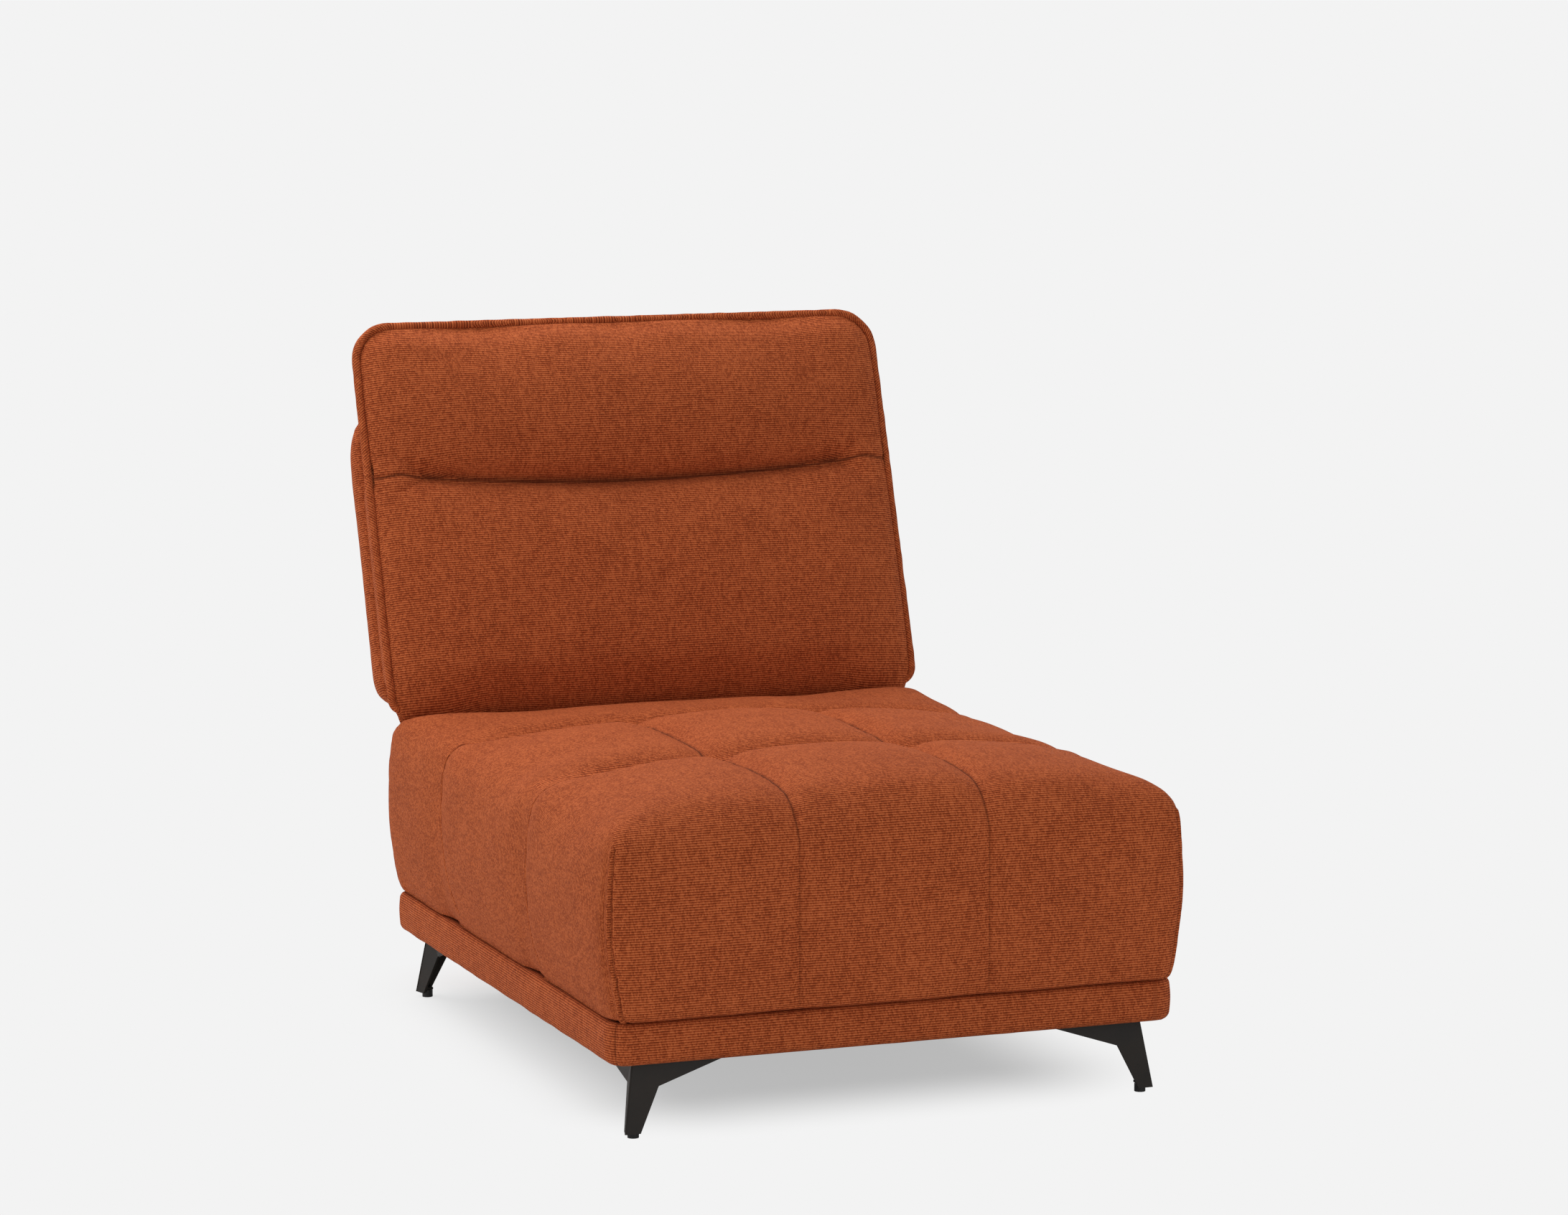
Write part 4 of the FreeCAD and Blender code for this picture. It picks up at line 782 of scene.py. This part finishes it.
def lay_seat_weave(piece):
    """Ribs run across the seat and down its sides, and turn over its front edge as level rows."""
    mesh = piece.data
    points = coordinates(mesh)
    up = Vector((0, 0, 1))
    spread = (-0.6, math.pi + 0.6)
    depth_cut = section(piece, Vector((0.02, -0.10, 0.30)), Vector((0, -1, 0)), up, *spread)
    width_cut = section(piece, Vector((0, -0.42, 0.30)), Vector((-1, 0, 0)), up, *spread)
    across = follow(*depth_cut, np.stack([-points[:, 1], points[:, 2]], axis=1))
    along = follow(*width_cut, np.stack([-points[:, 0], points[:, 2]], axis=1))
    level_y = top_run(*depth_cut, points[:, 1])
    level_x = top_run(*width_cut, points[:, 0])
    faces = np.abs(face_normals(mesh))
    classes = np.zeros(len(faces), dtype=np.int64)
    classes[(faces[:, 0] > 0.6) & (faces[:, 0] > faces[:, 1])] = 1
    classes[(faces[:, 1] > 0.6) & (faces[:, 1] >= faces[:, 0])] = 2
    set_weave(piece, [(along, across), (along, level_y), (level_x, across)], classes)


# Plinth
def rounded_path(half_x, half_y, middle_y, radius, step):
    """Places round a rectangle with rounded corners: each corner's centre and its outward direction."""
    path = []
    corners = ((1, -1, -90), (1, 1, 0), (-1, 1, 90), (-1, -1, 180))
    centres = [Vector((side * (half_x - radius), middle_y + end * (half_y - radius)))
               for side, end, _ in corners]
    for centre, after, (_, _, first) in zip(centres, centres[1:] + centres[:1], corners):
        for turn in range(CORNER_STEPS + 1):
            angle = math.radians(first + 90 * turn / CORNER_STEPS)
            path.append((centre, Vector((math.cos(angle), math.sin(angle)))))
        count = int((after - centre).length / step)
        outward = path[-1][1]
        path += [(centre.lerp(after, i / count), outward) for i in range(1, count)]
    return path


def arc_profile(inset, height, radius, first, last, count):
    """Points of a profile's rounded edge, as how far in and how high."""
    angles = [math.radians(first + (last - first) * i / count) for i in range(count + 1)]
    return [(inset - radius * math.cos(a), height + radius * math.sin(a)) for a in angles]


def plinth_profile(bottom, top, depth, levels=9, inner_levels=5):
    """The band's cut, as how far in and how high: rounded under and over, and slightly crowned between."""
    under = arc_profile(PLINTH_UNDER, bottom + PLINTH_UNDER, PLINTH_UNDER, -90, 0, 7)
    over = arc_profile(PLINTH_OVER, top - PLINTH_OVER, PLINTH_OVER, 0, 90, 5)
    rise = over[0][1] - under[-1][1]
    face = [(-PLINTH_CROWN * math.sin(math.pi * i / levels), under[-1][1] + rise * i / levels)
            for i in range(1, levels)]
    inner = [(depth, top + (bottom - top) * i / inner_levels) for i in range(inner_levels + 1)]
    return under + face + over + inner


def make_plinth_cover():
    """The padded band round the base, sewn at its corners and turned in under the rails."""
    low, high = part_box("plinth_band_front")
    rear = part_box("plinth_band_rear")[1]
    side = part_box("plinth_band_right")
    half_x = side[1][0]
    middle_y = (low[1] + rear[1]) / 2
    half_y = (rear[1] - low[1]) / 2
    path = rounded_path(half_x, half_y, middle_y, PLINTH_CORNER, PLINTH_STEP)
    profile = plinth_profile(low[2], high[2], side[1][0] - side[0][0])
    lengths = [0.0]
    for a, b in zip(profile[:-1], profile[1:]):
        lengths.append(lengths[-1] + math.dist(a, b))

    # The band's rings, with the run along it at each
    bm = bmesh.new()
    rings = []
    runs = []
    run = 0.0
    previous = None
    for centre, outward in path:
        rim = centre + outward * PLINTH_CORNER
        run += (rim - previous).length if previous is not None else 0.0
        previous = rim
        runs.append(run)
        rings.append([bm.verts.new((*(rim - outward * inset), z)) for inset, z in profile])
    for here, after in zip(rings, rings[1:] + rings[:1]):
        for i in range(len(profile)):
            j = (i + 1) % len(profile)
            bm.faces.new((here[i], after[i], after[j], here[j]))
    bmesh.ops.recalc_face_normals(bm, faces=bm.faces)
    mesh = bpy.data.meshes.new("plinth_cover")
    bm.to_mesh(mesh)
    bm.free()
    piece = link_piece("plinth_cover", mesh)

    # Its outer face is uneven as padding is, and drawn in at the corner seams
    inward = np.tile([inset for inset, _ in profile], len(path))
    facing = (inward < PLINTH_OVER).astype(float)
    ripple(piece, amount=1.1 * MILLIMETRE, size=0.05, seed=5.3, weight=facing)
    points = coordinates(mesh)
    directions = normals(mesh)
    into_x = half_x - np.abs(points[:, 0])
    into_y = half_y - np.abs(points[:, 1] - middle_y)
    corner = np.where((into_x < PLINTH_CORNER) & (into_y < PLINTH_CORNER), into_x - into_y, 1.0)
    sunk = 0.9 * bell(corner, 0.0022) - 0.4 * bell(np.abs(corner) - 0.006, 0.004)
    set_coordinates(mesh, points - directions * (sunk * facing * MILLIMETRE)[:, None])
    add_seam(piece, 0.50 * bell(corner, 0.0014))
    along = np.repeat(runs, len(profile))
    across = np.tile(lengths, len(path))
    set_weave(piece, [(along, across)], np.zeros(len(mesh.polygons), dtype=np.int64))
    bands = [f"plinth_band_{side_name}" for side_name in ("front", "rear", "left", "right")]
    finish_soft(piece, "base", bands)


# Back, headrest and rear panel
def lay_back_weave(piece, centre_w, centre_u):
    """Level ribs up the back, which follow the cover's swell."""
    mesh = piece.data
    points = coordinates(mesh)
    flat_points = lie(points)
    centre = place(0.02, centre_w, centre_u)
    forward = (place(0, -1, 0) - place(0, 0, 0)).normalized()
    upward = (place(0, 0, 1) - place(0, 0, 0)).normalized()
    cut, lengths = section(piece, centre, forward, upward, -math.pi + 0.05, math.pi - 0.05)
    pairs = np.stack([points @ np.array(forward), points @ np.array(upward)], axis=1)
    across = follow(cut, lengths, pairs)

    # Near the flanks the ribs run straight across, also past the crease's ends
    facing = smooth_step(normals(mesh) @ np.array(forward), 0.3, 0.7)
    plain = (facing > 0.9) & (np.abs(flat_points[:, 2] - centre_u) < 0.05)
    if plain.any():
        level = flat_points[:, 2] + np.mean(across[plain] - flat_points[plain, 2])
        across += (level - across) * facing * smooth_step(np.abs(flat_points[:, 0]), 0.26, 0.36)
    faces = face_normals(mesh)
    classes = (np.abs(faces[:, 0]) > 0.7).astype(np.int64)
    set_weave(piece, [(flat_points[:, 0], across), (flat_points[:, 1], flat_points[:, 2])], classes)


def front_hold(piece, front_w, margin):
    """Holds the cover's flanks and edges, so that only its front face swells."""
    flat = lie(coordinates(piece.data))
    hold = np.where(flat[:, 1] > front_w, 1.0, 0.0)
    edge = (FACE_HALF - np.abs(flat[:, 0])) / margin
    return np.maximum(hold, np.clip(1.0 - edge, 0, 1))


def shift_back(piece, x, w, u):
    """Moves a cover's points in the back's own directions."""
    points = coordinates(piece.data)
    across = np.stack([x, w * LEAN_COS + u * LEAN_SIN, -w * LEAN_SIN + u * LEAN_COS], axis=1)
    set_coordinates(piece.data, points + across)


def crease_heights(x):
    """The crease's height at many places across the back."""
    return np.array([crease_height(v) for v in np.clip(x, -FACE_HALF, FACE_HALF)])


def inside_roll(piece):
    """One on the face of a cover and nothing along its roll."""
    x, _, u = lie(coordinates(piece.data)).T
    edge = np.minimum(FACE_HALF - np.abs(x), BACK_HEIGHT - u)
    return smooth_step(edge, 0.006, 0.050)


def fill_flanks(piece):
    """Fills the cover out to its roll, away from the crease."""
    points = coordinates(piece.data)
    directions = normals(piece.data)
    x, w, u = lie(points).T
    outward = np.abs(directions[:, 1] * LEAN_COS - directions[:, 2] * LEAN_SIN) < 0.65
    away = smooth_step(np.abs(u - crease_heights(x)), 0.010, 0.030)
    near = smooth_step(w, -0.030, -0.012) * (1 - smooth_step(w, 0.012, 0.030))
    push = FLANK_FILL * outward * np.maximum(away, smooth_step(np.abs(x), 0.405, 0.415)) * near
    foot = smooth_step(np.abs(x), 0.385, 0.410) * (1 - smooth_step(u, 0.035, 0.060))
    push += CORNER_FILL * outward * near * foot
    push = even_out(piece.data, push[:, None], 3)
    set_coordinates(piece.data, points + directions * push)


def drop_belly(piece):
    """Lets the cushion's foot hang over its roll and rest on the seat, and lifts its head under the lip."""
    x, w, u = lie(coordinates(piece.data)).T
    foot = (1 - smooth_step(u, 0.0, 0.060)) * (1 - smooth_step(w, -0.002, 0.030))
    inner = 1 - smooth_step(np.abs(x), FACE_HALF - 0.014, FACE_HALF + 0.010)
    drop = BELLY_DROP * foot * inner
    under = np.clip(1 - u / 0.075, 0, 1) ** 2 * (1 - smooth_step(w, -0.010, 0.020))
    gap = crease_heights(x) - u
    middle = 1 - smooth_step(np.abs(x), 0.33, 0.39)
    head = (1 - smooth_step(gap, 0.004, 0.040)) * (1 - smooth_step(w, -0.002, 0.020))
    shift_back(piece, 0 * x, BELLY_TUCK * under, HEAD_LIFT * head * middle - drop)


def drop_lip(piece):
    """Lets the headrest's lower edge hang a little over the crease, and paints shade on it just above the
    crease.
    """
    x, w, u = lie(coordinates(piece.data)).T
    gap = u - crease_heights(x)
    middle = 1 - smooth_step(np.abs(x), 0.33, 0.39)
    lip = (1 - smooth_step(gap, 0.006, 0.055)) * (1 - smooth_step(w, -0.004, 0.010)) * middle
    recede = np.clip(1 - gap / 0.050, 0, 1) ** 2 * (1 - smooth_step(w, -0.012, 0.0)) * middle
    shift_back(piece, 0 * x, LIP_RECEDE * recede - LIP_FORWARD * lip, -LIP_DROP * lip)
    # Painted shade on the lip just above the crease, where it curves under
    add_seam(piece, LIP_PAINTED_SHADE * (1 - smooth_step(gap, 0.004, 0.017)) * middle)


def pockets(rows):
    """The blocks that close the rooms of a pad."""
    return [(place(0, w, u), size) for w, u, size in rows]


def make_pad_cover(node, name, blocks, body, unevenness, seed, shape, middle_u):
    """A front cover of the back: stuffed, filled out to its roll, shaped at the crease and woven."""
    piece = padded_copy(node, name, PAD_VOXEL, blocks, True)
    swell(piece, front_hold(piece, PAD_FRONT_W, margin=0.02), PAD_PRESSURE, PAD_SWELL)
    subdivide(piece)
    ripple(piece, unevenness, 0.08, seed, weight=inside_roll(piece))
    fill_flanks(piece)
    shape(piece)
    lay_back_weave(piece, centre_w=0.0, centre_u=middle_u)
    finish_soft(piece, body, [node])


def make_back_cover():
    """The front cover of the back, below the crease."""
    make_pad_cover("back_cushion", "back_cover", pockets(BACK_POCKETS), "backrest",
                   unevenness=1.5 * MILLIMETRE, seed=7.7, shape=drop_belly, middle_u=0.18)


def make_headrest_cover():
    """The front cover of the headrest, above the crease."""
    make_pad_cover("headrest_cushion", "headrest_cover", pockets(HEADREST_POCKETS), "headrest",
                   unevenness=1.4 * MILLIMETRE, seed=11.2, shape=drop_lip, middle_u=0.49)


def make_rear_covers():
    """The rear panel's cover, which shows beside the back, and the headrest's rear cover."""
    panel = padded_copy("rear_panel_pad", "rear_panel_cover", PANEL_VOXEL, pockets(PANEL_POCKETS), True)
    flat = lie(coordinates(panel.data))
    swell(panel, np.where(flat[:, 1] < 0.085, 1.0, 0.0), pressure=3.0, cap=5 * MILLIMETRE)
    subdivide(panel)
    x = coordinates(panel.data)[:, 0]
    shift_back(panel, PANEL_WIDER * np.sign(x) * smooth_step(np.abs(x), 0.34, 0.41), 0 * x, 0 * x)
    ripple(panel, amount=1.6 * MILLIMETRE, size=0.1, seed=2.2)
    lay_back_weave(panel, centre_w=0.09, centre_u=0.27)
    finish_soft(panel, "backrest", ["rear_panel_pad"])
    cover = padded_copy("headrest_back_cover", "headrest_rear_cover", 4 * MILLIMETRE)
    lay_back_weave(cover, centre_w=0.0585, centre_u=0.49)
    finish_soft(cover, "headrest", ["headrest_back_cover"])


def roll_path(low, high, radius, at_foot, turn_steps=12):
    """The roll's centre line in the back's plane: open above with its turns at the foot, or the reverse."""
    half = FACE_HALF + ROLL_OUT
    if at_foot:
        turns = ((-half + radius, low + radius, math.pi, 1.5 * math.pi),
                 (half - radius, low + radius, 1.5 * math.pi, 2 * math.pi))
    else:
        turns = ((-half + radius, high - radius, math.pi, 0.5 * math.pi),
                 (half - radius, high - radius, 0.5 * math.pi, 0.0))
    ends = high if at_foot else low
    path = [(-half, ends)]
    for cx, cu, first, last in turns:
        for step in range(turn_steps + 1):
            angle = first + (last - first) * step / turn_steps
            path.append((cx + radius * math.cos(angle), cu + radius * math.sin(angle)))
    path.append((half, ends))
    return path


def make_roll(name, node, body, path, step=0.006):
    """A soft cord in cloth, sewn round the edge of a cushion, with its ribs wound at a slant."""
    curve = bpy.data.curves.new(name, "CURVE")
    curve.dimensions = "3D"
    curve.bevel_depth = ROLL_RADIUS
    curve.bevel_resolution = 5
    curve.use_fill_caps = True
    spline = curve.splines.new("POLY")
    dense = []
    for a, b in zip(path[:-1], path[1:]):
        count = max(1, int(math.dist(a, b) / step))
        dense += [(a[0] + (b[0] - a[0]) * i / count, a[1] + (b[1] - a[1]) * i / count) for i in range(count)]
    dense.append(path[-1])
    spline.points.add(len(dense) - 1)
    for point, (x, u) in zip(spline.points, dense):
        behind = min(max((ROLL_TUCK - u) / ROLL_TUCK, 0.0), 1.0) * ROLL_TUCK_W
        point.co = (*place(x, ROLL_W + behind, u), 1.0)
    holder = bpy.data.objects.new(name, curve)
    bpy.context.scene.collection.objects.link(holder)
    graph = bpy.context.evaluated_depsgraph_get()
    mesh = bpy.data.meshes.new_from_object(holder.evaluated_get(graph))
    bpy.data.objects.remove(holder)
    piece = link_piece(name, mesh)
    bm = bmesh.new()
    bm.from_mesh(mesh)
    bmesh.ops.remove_doubles(bm, verts=bm.verts, dist=WELD)
    bmesh.ops.recalc_face_normals(bm, faces=bm.faces)
    bm.to_mesh(mesh)
    bm.free()
    ripple(piece, amount=0.7 * MILLIMETRE, size=0.018, seed=9.4)

    # The cloth's lengths along and round the cord, turned by the slant
    flat = lie(coordinates(mesh))
    line = np.array(dense)
    lengths = np.concatenate([[0.0], np.cumsum(np.linalg.norm(np.diff(line, axis=0), axis=1))])
    run = follow(line, lengths, flat[:, [0, 2]])
    centre_x = np.interp(run, lengths, line[:, 0])
    centre_u = np.interp(run, lengths, line[:, 1])
    off_centre = np.hypot(flat[:, 0] - centre_x, flat[:, 2] - centre_u)
    outward = np.sign(np.abs(flat[:, 0]) - np.abs(centre_x)) * off_centre
    girth = ROLL_RADIUS * np.arctan2(flat[:, 1] - ROLL_W, outward)
    across = ROLL_SLANT[0] * run + ROLL_SLANT[1] * girth
    along = ROLL_SLANT[0] * girth - ROLL_SLANT[1] * run
    set_weave(piece, [(along, across)], np.zeros(len(mesh.polygons), dtype=np.int64))
    finish_soft(piece, body, [node])


def make_rolls():
    """The sewn roll round the back's cushion and the one round the headrest."""
    make_roll("back_roll", "back_piping", "backrest",
              roll_path(low=0.0160, high=0.3869, radius=0.0190, at_foot=True))
    make_roll("headrest_roll", "headrest_piping", "headrest",
              roll_path(low=0.3791, high=0.6175, radius=0.0565, at_foot=False))


def front_of(piece, x, u, ahead=-0.3):
    """How far forward a cover's face lies at places of the back's plane."""
    tree = BVHTree.FromObject(piece, bpy.context.evaluated_depsgraph_get())
    rearward = place(0, 1, 0) - place(0, 0, 0)
    hits = [tree.ray_cast(place(a, ahead, b), rearward)[0] or place(a, 0, b) for a, b in zip(x, u)]
    return lie(np.array(hits))[:, 1]


def make_crease_lining():
    """A strip of cloth in the crease: deep under the lip, and nearly level with the pads at its two ends."""
    half = FACE_HALF - LINING_EDGE
    x = np.linspace(-half, half, LINING_COLUMNS + 1)
    crease = crease_heights(x)
    below = front_of(bpy.data.objects["back_cover"], x, crease - LINING_REACH)
    above = front_of(bpy.data.objects["headrest_cover"], x, crease + LINING_REACH)
    ends = smooth_step(np.abs(x), *LINING_FLATTENS)
    droop = LINING_DROOP * smooth_step(np.abs(x), 0.380, FACE_HALF)
    bm = bmesh.new()
    grid = []
    for i, middle in enumerate(x):
        line = []
        for j in range(LINING_LANES + 1):
            share = 2 * j / LINING_LANES - 1
            face = below[i] + (above[i] - below[i]) * (share + 1) / 2
            face += LINING_RIM * share ** 8 - LINING_HOLLOW * (1 - share ** 2)
            shallow = face + GROOVE_DEPTH * bell(share - droop[i], GROOVE_SHARE)
            rise = face + LINING_BEHIND - LINING_BOTTOM
            deep = LINING_BOTTOM + rise * abs(share) ** LINING_CURVE
            w = deep + (shallow - deep) * ends[i]
            line.append(bm.verts.new(place(middle, w, crease[i] + LINING_REACH * share)))
        grid.append(line)
    for left, right in zip(grid[:-1], grid[1:]):
        for j in range(LINING_LANES):
            bm.faces.new((left[j], right[j], right[j + 1], left[j + 1]))
    mesh = bpy.data.meshes.new("crease_lining")
    bm.to_mesh(mesh)
    bm.free()
    piece = link_piece("crease_lining", mesh)
    flat = lie(coordinates(mesh))
    off = flat[:, 2] - crease_heights(flat[:, 0]) - LINING_REACH * np.repeat(droop, LINING_LANES + 1)
    # A dark line along the lining's groove, painted shade of the crease where the lip meets the lower pad
    add_seam(piece, 0.8 * bell(off, 0.0022))
    set_weave(piece, [(flat[:, 0], flat[:, 2])], np.zeros(len(mesh.polygons), dtype=np.int64))
    mesh.materials.append(bpy.data.materials["ribbed_chenille"])
    mesh.polygons.foreach_set("use_smooth", [True] * len(mesh.polygons))
    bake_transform(piece)


# Studio
def make_floor():
    """A pale paper floor that turns into the even backdrop away from the chair's shadow."""
    material, tree = new_material("studio_floor")
    spot = add_node(tree, "ShaderNodeTexCoord").outputs["Object"]
    reach = add_node(tree, "ShaderNodeVectorMath", {0: spot}, operation="ABSOLUTE").outputs[0]
    past = add_node(tree, "ShaderNodeVectorMath", {0: reach, 1: SHADOW_HALF}, operation="SUBTRACT")
    beyond = add_node(tree, "ShaderNodeVectorMath", {0: past.outputs[0], 1: (0, 0, 0)}, operation="MAXIMUM")
    away = add_node(tree, "ShaderNodeVectorMath", {0: beyond.outputs[0]}, operation="LENGTH")
    distance = away.outputs["Value"]
    fade = add_node(tree, "ShaderNodeMapRange", {"Value": distance, "From Min": 0.0, "From Max": SHADOW_FADE,
                                                 "To Min": SHADOW_GLOW, "To Max": 1.0},
                    interpolation_type="SMOOTHSTEP").outputs[0]
    paper = add_node(tree, "ShaderNodeBsdfPrincipled", {"Base Color": colour(FLOOR_PAPER), "Roughness": 0.9,
                                                        "Specular IOR Level": 0.1})
    glow = add_node(tree, "ShaderNodeEmission", {"Color": colour(BACKDROP), "Strength": 1.0})
    path = add_node(tree, "ShaderNodeLightPath")
    seen = calc(tree, "MULTIPLY", fade, path.outputs["Is Camera Ray"])
    mixed = add_node(tree, "ShaderNodeMixShader", {0: seen, 1: paper.outputs[0], 2: glow.outputs[0]})
    add_node(tree, "ShaderNodeOutputMaterial", {"Surface": mixed.outputs[0]})
    bm = bmesh.new()
    bmesh.ops.create_circle(bm, cap_ends=True, segments=64, radius=FLOOR_RADIUS)
    mesh = bpy.data.meshes.new("studio_floor")
    bm.to_mesh(mesh)
    bm.free()
    mesh.materials.append(material)
    link_piece("studio_floor", mesh)


def make_light():
    """An even room that glows softly, and three softboxes."""
    world = bpy.data.worlds.new("studio_light")
    bpy.context.scene.world = world
    world.use_nodes = True
    tree = world.node_tree
    tree.nodes.clear()
    path = add_node(tree, "ShaderNodeLightPath")
    shown = calc(tree, "MAXIMUM", path.outputs["Is Camera Ray"], path.outputs["Is Glossy Ray"])
    strength = add_node(tree, "ShaderNodeMix", {0: shown, 2: ROOM_GLOW, 3: 1.0}).outputs[0]
    sky = add_node(tree, "ShaderNodeBackground", {"Color": colour(BACKDROP), "Strength": strength})
    add_node(tree, "ShaderNodeOutputWorld", {"Surface": sky.outputs[0]})
    for name, spot, aim, size, power in SOFTBOXES:
        lamp = bpy.data.lights.new(name, "AREA")
        lamp.shape = "DISK"
        lamp.size = size
        lamp.energy = power
        holder = bpy.data.objects.new(name, lamp)
        holder.location = spot
        holder.rotation_euler = (Vector(aim) - Vector(spot)).to_track_quat("-Z", "Y").to_euler()
        bpy.context.scene.collection.objects.link(holder)


def make_camera():
    """The photograph's camera."""
    lens = bpy.data.cameras.new("photo_camera")
    lens.sensor_width = SENSOR_WIDTH
    lens.lens = CAMERA_FOCUS / PHOTO_WIDTH * SENSOR_WIDTH
    lens.clip_end = 300.0
    camera = bpy.data.objects.new("photo_camera", lens)
    camera.location = CAMERA_PLACE
    camera.rotation_euler = (math.pi / 2 - CAMERA_DIP, 0.0, CAMERA_TURN)
    bpy.context.scene.collection.objects.link(camera)
    bpy.context.scene.camera = camera
    bpy.context.scene.view_settings.view_transform = "Standard"


# Finishes of the solids that stay as they are
def dress_nodes():
    """Gives each solid of the frame that stays the finish of what it is made of."""
    finishes = {
        "leg_steel": powder_coat(),
        "frame_wood": planed_wood("planed_beech", "#c9a377", "#a97c50", 9.0),
        "plywood": planed_wood("birch_plywood", "#d9bd8e", "#bf9a68", 5.0),
        "foam": open_cell_foam(),
        "webbing": strap_weave("elastic_webbing", ("#1b1613", "#4a3c33"), 3 * MILLIMETRE),
        "dust_cloth": strap_weave("spunbond_lining", ("#0c0c0c", "#1e1d1c"), 1.5 * MILLIMETRE),
        "hinge_steel": bright_steel("zinc_plated_steel", ("#82838a", "#a9aab0"), 0.32, 160.0),
        "pin_steel": bright_steel("turned_steel", ("#a5a6ab", "#c8c9cc"), 0.2, 500.0),
        "fastener_steel": bright_steel("plated_screw_steel", ("#8b8c90", "#b2b3b8"), 0.28, 260.0),
        "washer_plastic": moulded_plastic("natural_nylon", ("#d2d0c6", "#e2e0d8"), 0.5),
        "glide_plastic": moulded_plastic("black_polypropylene", ("#0f0e0d", "#1b1917"), 0.45),
    }
    slots = {part["node"]: part["material_slot"] for part in frame["record"]["subparts"]}
    for node, piece in frame["nodes"].items():
        finish = finishes.get(slots[node])
        if finish is None:
            continue
        for slot in piece.material_slots:
            slot.link = "OBJECT"
            slot.material = finish


class LoungeChairLook(bpy.types.PropertyGroup):
    """The cloth's spacing and colours."""
    rib_pitch: bpy.props.FloatProperty(name="Rib Pitch", description="Spacing of the cloth's ribs",
                                       default=0.0035, min=0.001, subtype="DISTANCE", unit="LENGTH")
    bead_pitch: bpy.props.FloatProperty(name="Bead Pitch", description="Spacing of the beads along a rib",
                                        default=0.0022, min=0.0005, subtype="DISTANCE", unit="LENGTH")
    # The darkest thread colour, which also paints shade into the gaps between the ribs
    thread_dark_and_gap_shade: bpy.props.StringProperty(name="Thread Dark", description="Hex colour between the ribs",
                                          default="#722e12")
    thread_mid: bpy.props.StringProperty(name="Thread Mid", description="Hex colour of the cloth",
                                         default="#a54a24")
    thread_light: bpy.props.StringProperty(name="Thread Light", description="Hex colour of raised threads",
                                           default="#cd6f3f")


class ChairOperator:
    """What all the chair's operators share."""
    bl_options = {"REGISTER", "UNDO"}


class CHAIR_OT_cloth(ChairOperator, bpy.types.Operator):
    """Make the ribbed cloth"""
    bl_idname = "lounge_chair.cloth"
    bl_label = "Cloth"

    def execute(self, context):
        ribbed_cloth()
        return {"FINISHED"}


class CHAIR_OT_frame_finishes(ChairOperator, bpy.types.Operator):
    """Give the legs, frame, hinges and fasteners their finishes"""
    bl_idname = "lounge_chair.frame_finishes"
    bl_label = "Frame Finishes"

    def execute(self, context):
        dress_nodes()
        return {"FINISHED"}


class CHAIR_OT_seat_cover(ChairOperator, bpy.types.Operator):
    """Make the seat's tufted cover"""
    bl_idname = "lounge_chair.seat_cover"
    bl_label = "Seat Cover"

    def execute(self, context):
        make_seat_cover()
        return {"FINISHED"}


class CHAIR_OT_plinth_cover(ChairOperator, bpy.types.Operator):
    """Make the plinth's padded band"""
    bl_idname = "lounge_chair.plinth_cover"
    bl_label = "Plinth Cover"

    def execute(self, context):
        make_plinth_cover()
        return {"FINISHED"}


class CHAIR_OT_back_covers(ChairOperator, bpy.types.Operator):
    """Make the front covers of the back and the headrest"""
    bl_idname = "lounge_chair.back_covers"
    bl_label = "Back Covers"

    def execute(self, context):
        make_back_cover()
        make_headrest_cover()
        return {"FINISHED"}


class CHAIR_OT_rear_covers(ChairOperator, bpy.types.Operator):
    """Make the covers behind the back and the headrest"""
    bl_idname = "lounge_chair.rear_covers"
    bl_label = "Rear Covers"

    def execute(self, context):
        make_rear_covers()
        return {"FINISHED"}


class CHAIR_OT_rolls(ChairOperator, bpy.types.Operator):
    """Make the sewn rolls and the lining of the crease"""
    bl_idname = "lounge_chair.rolls"
    bl_label = "Rolls"

    def execute(self, context):
        make_rolls()
        make_crease_lining()
        return {"FINISHED"}


class CHAIR_OT_stage(ChairOperator, bpy.types.Operator):
    """Make the floor, the lights and the camera"""
    bl_idname = "lounge_chair.stage"
    bl_label = "Studio"

    def execute(self, context):
        make_floor()
        make_light()
        make_camera()
        return {"FINISHED"}


class CHAIR_PT_panel(bpy.types.Panel):
    """The chair's settings and the steps that dress it"""
    bl_idname = "CHAIR_PT_panel"
    bl_label = "Lounge Chair"
    bl_space_type = "VIEW_3D"
    bl_region_type = "UI"
    bl_category = "Lounge Chair"

    def draw(self, context):
        look = context.scene.lounge_chair
        for name in ("rib_pitch", "bead_pitch", "thread_dark_and_gap_shade", "thread_mid", "thread_light"):
            self.layout.prop(look, name)
        for step in STEPS:
            self.layout.operator(step.bl_idname)


STEPS = (CHAIR_OT_cloth, CHAIR_OT_frame_finishes, CHAIR_OT_seat_cover, CHAIR_OT_plinth_cover,
         CHAIR_OT_back_covers, CHAIR_OT_rear_covers, CHAIR_OT_rolls, CHAIR_OT_stage)
CLASSES = (LoungeChairLook, *STEPS, CHAIR_PT_panel)


def register():
    """Makes the chair's classes and settings known to Blender."""
    for item in CLASSES:
        bpy.utils.register_class(item)
    bpy.types.Scene.lounge_chair = bpy.props.PointerProperty(type=LoungeChairLook)


def unregister():
    """Takes them out again."""
    del bpy.types.Scene.lounge_chair
    for item in reversed(CLASSES):
        bpy.utils.unregister_class(item)


def main():
    """Dresses the chair step by step."""
    register()
    for step in STEPS:
        group, name = step.bl_idname.split(".")
        getattr(getattr(bpy.ops, group), name)()


if __name__ == "__main__":
    main()
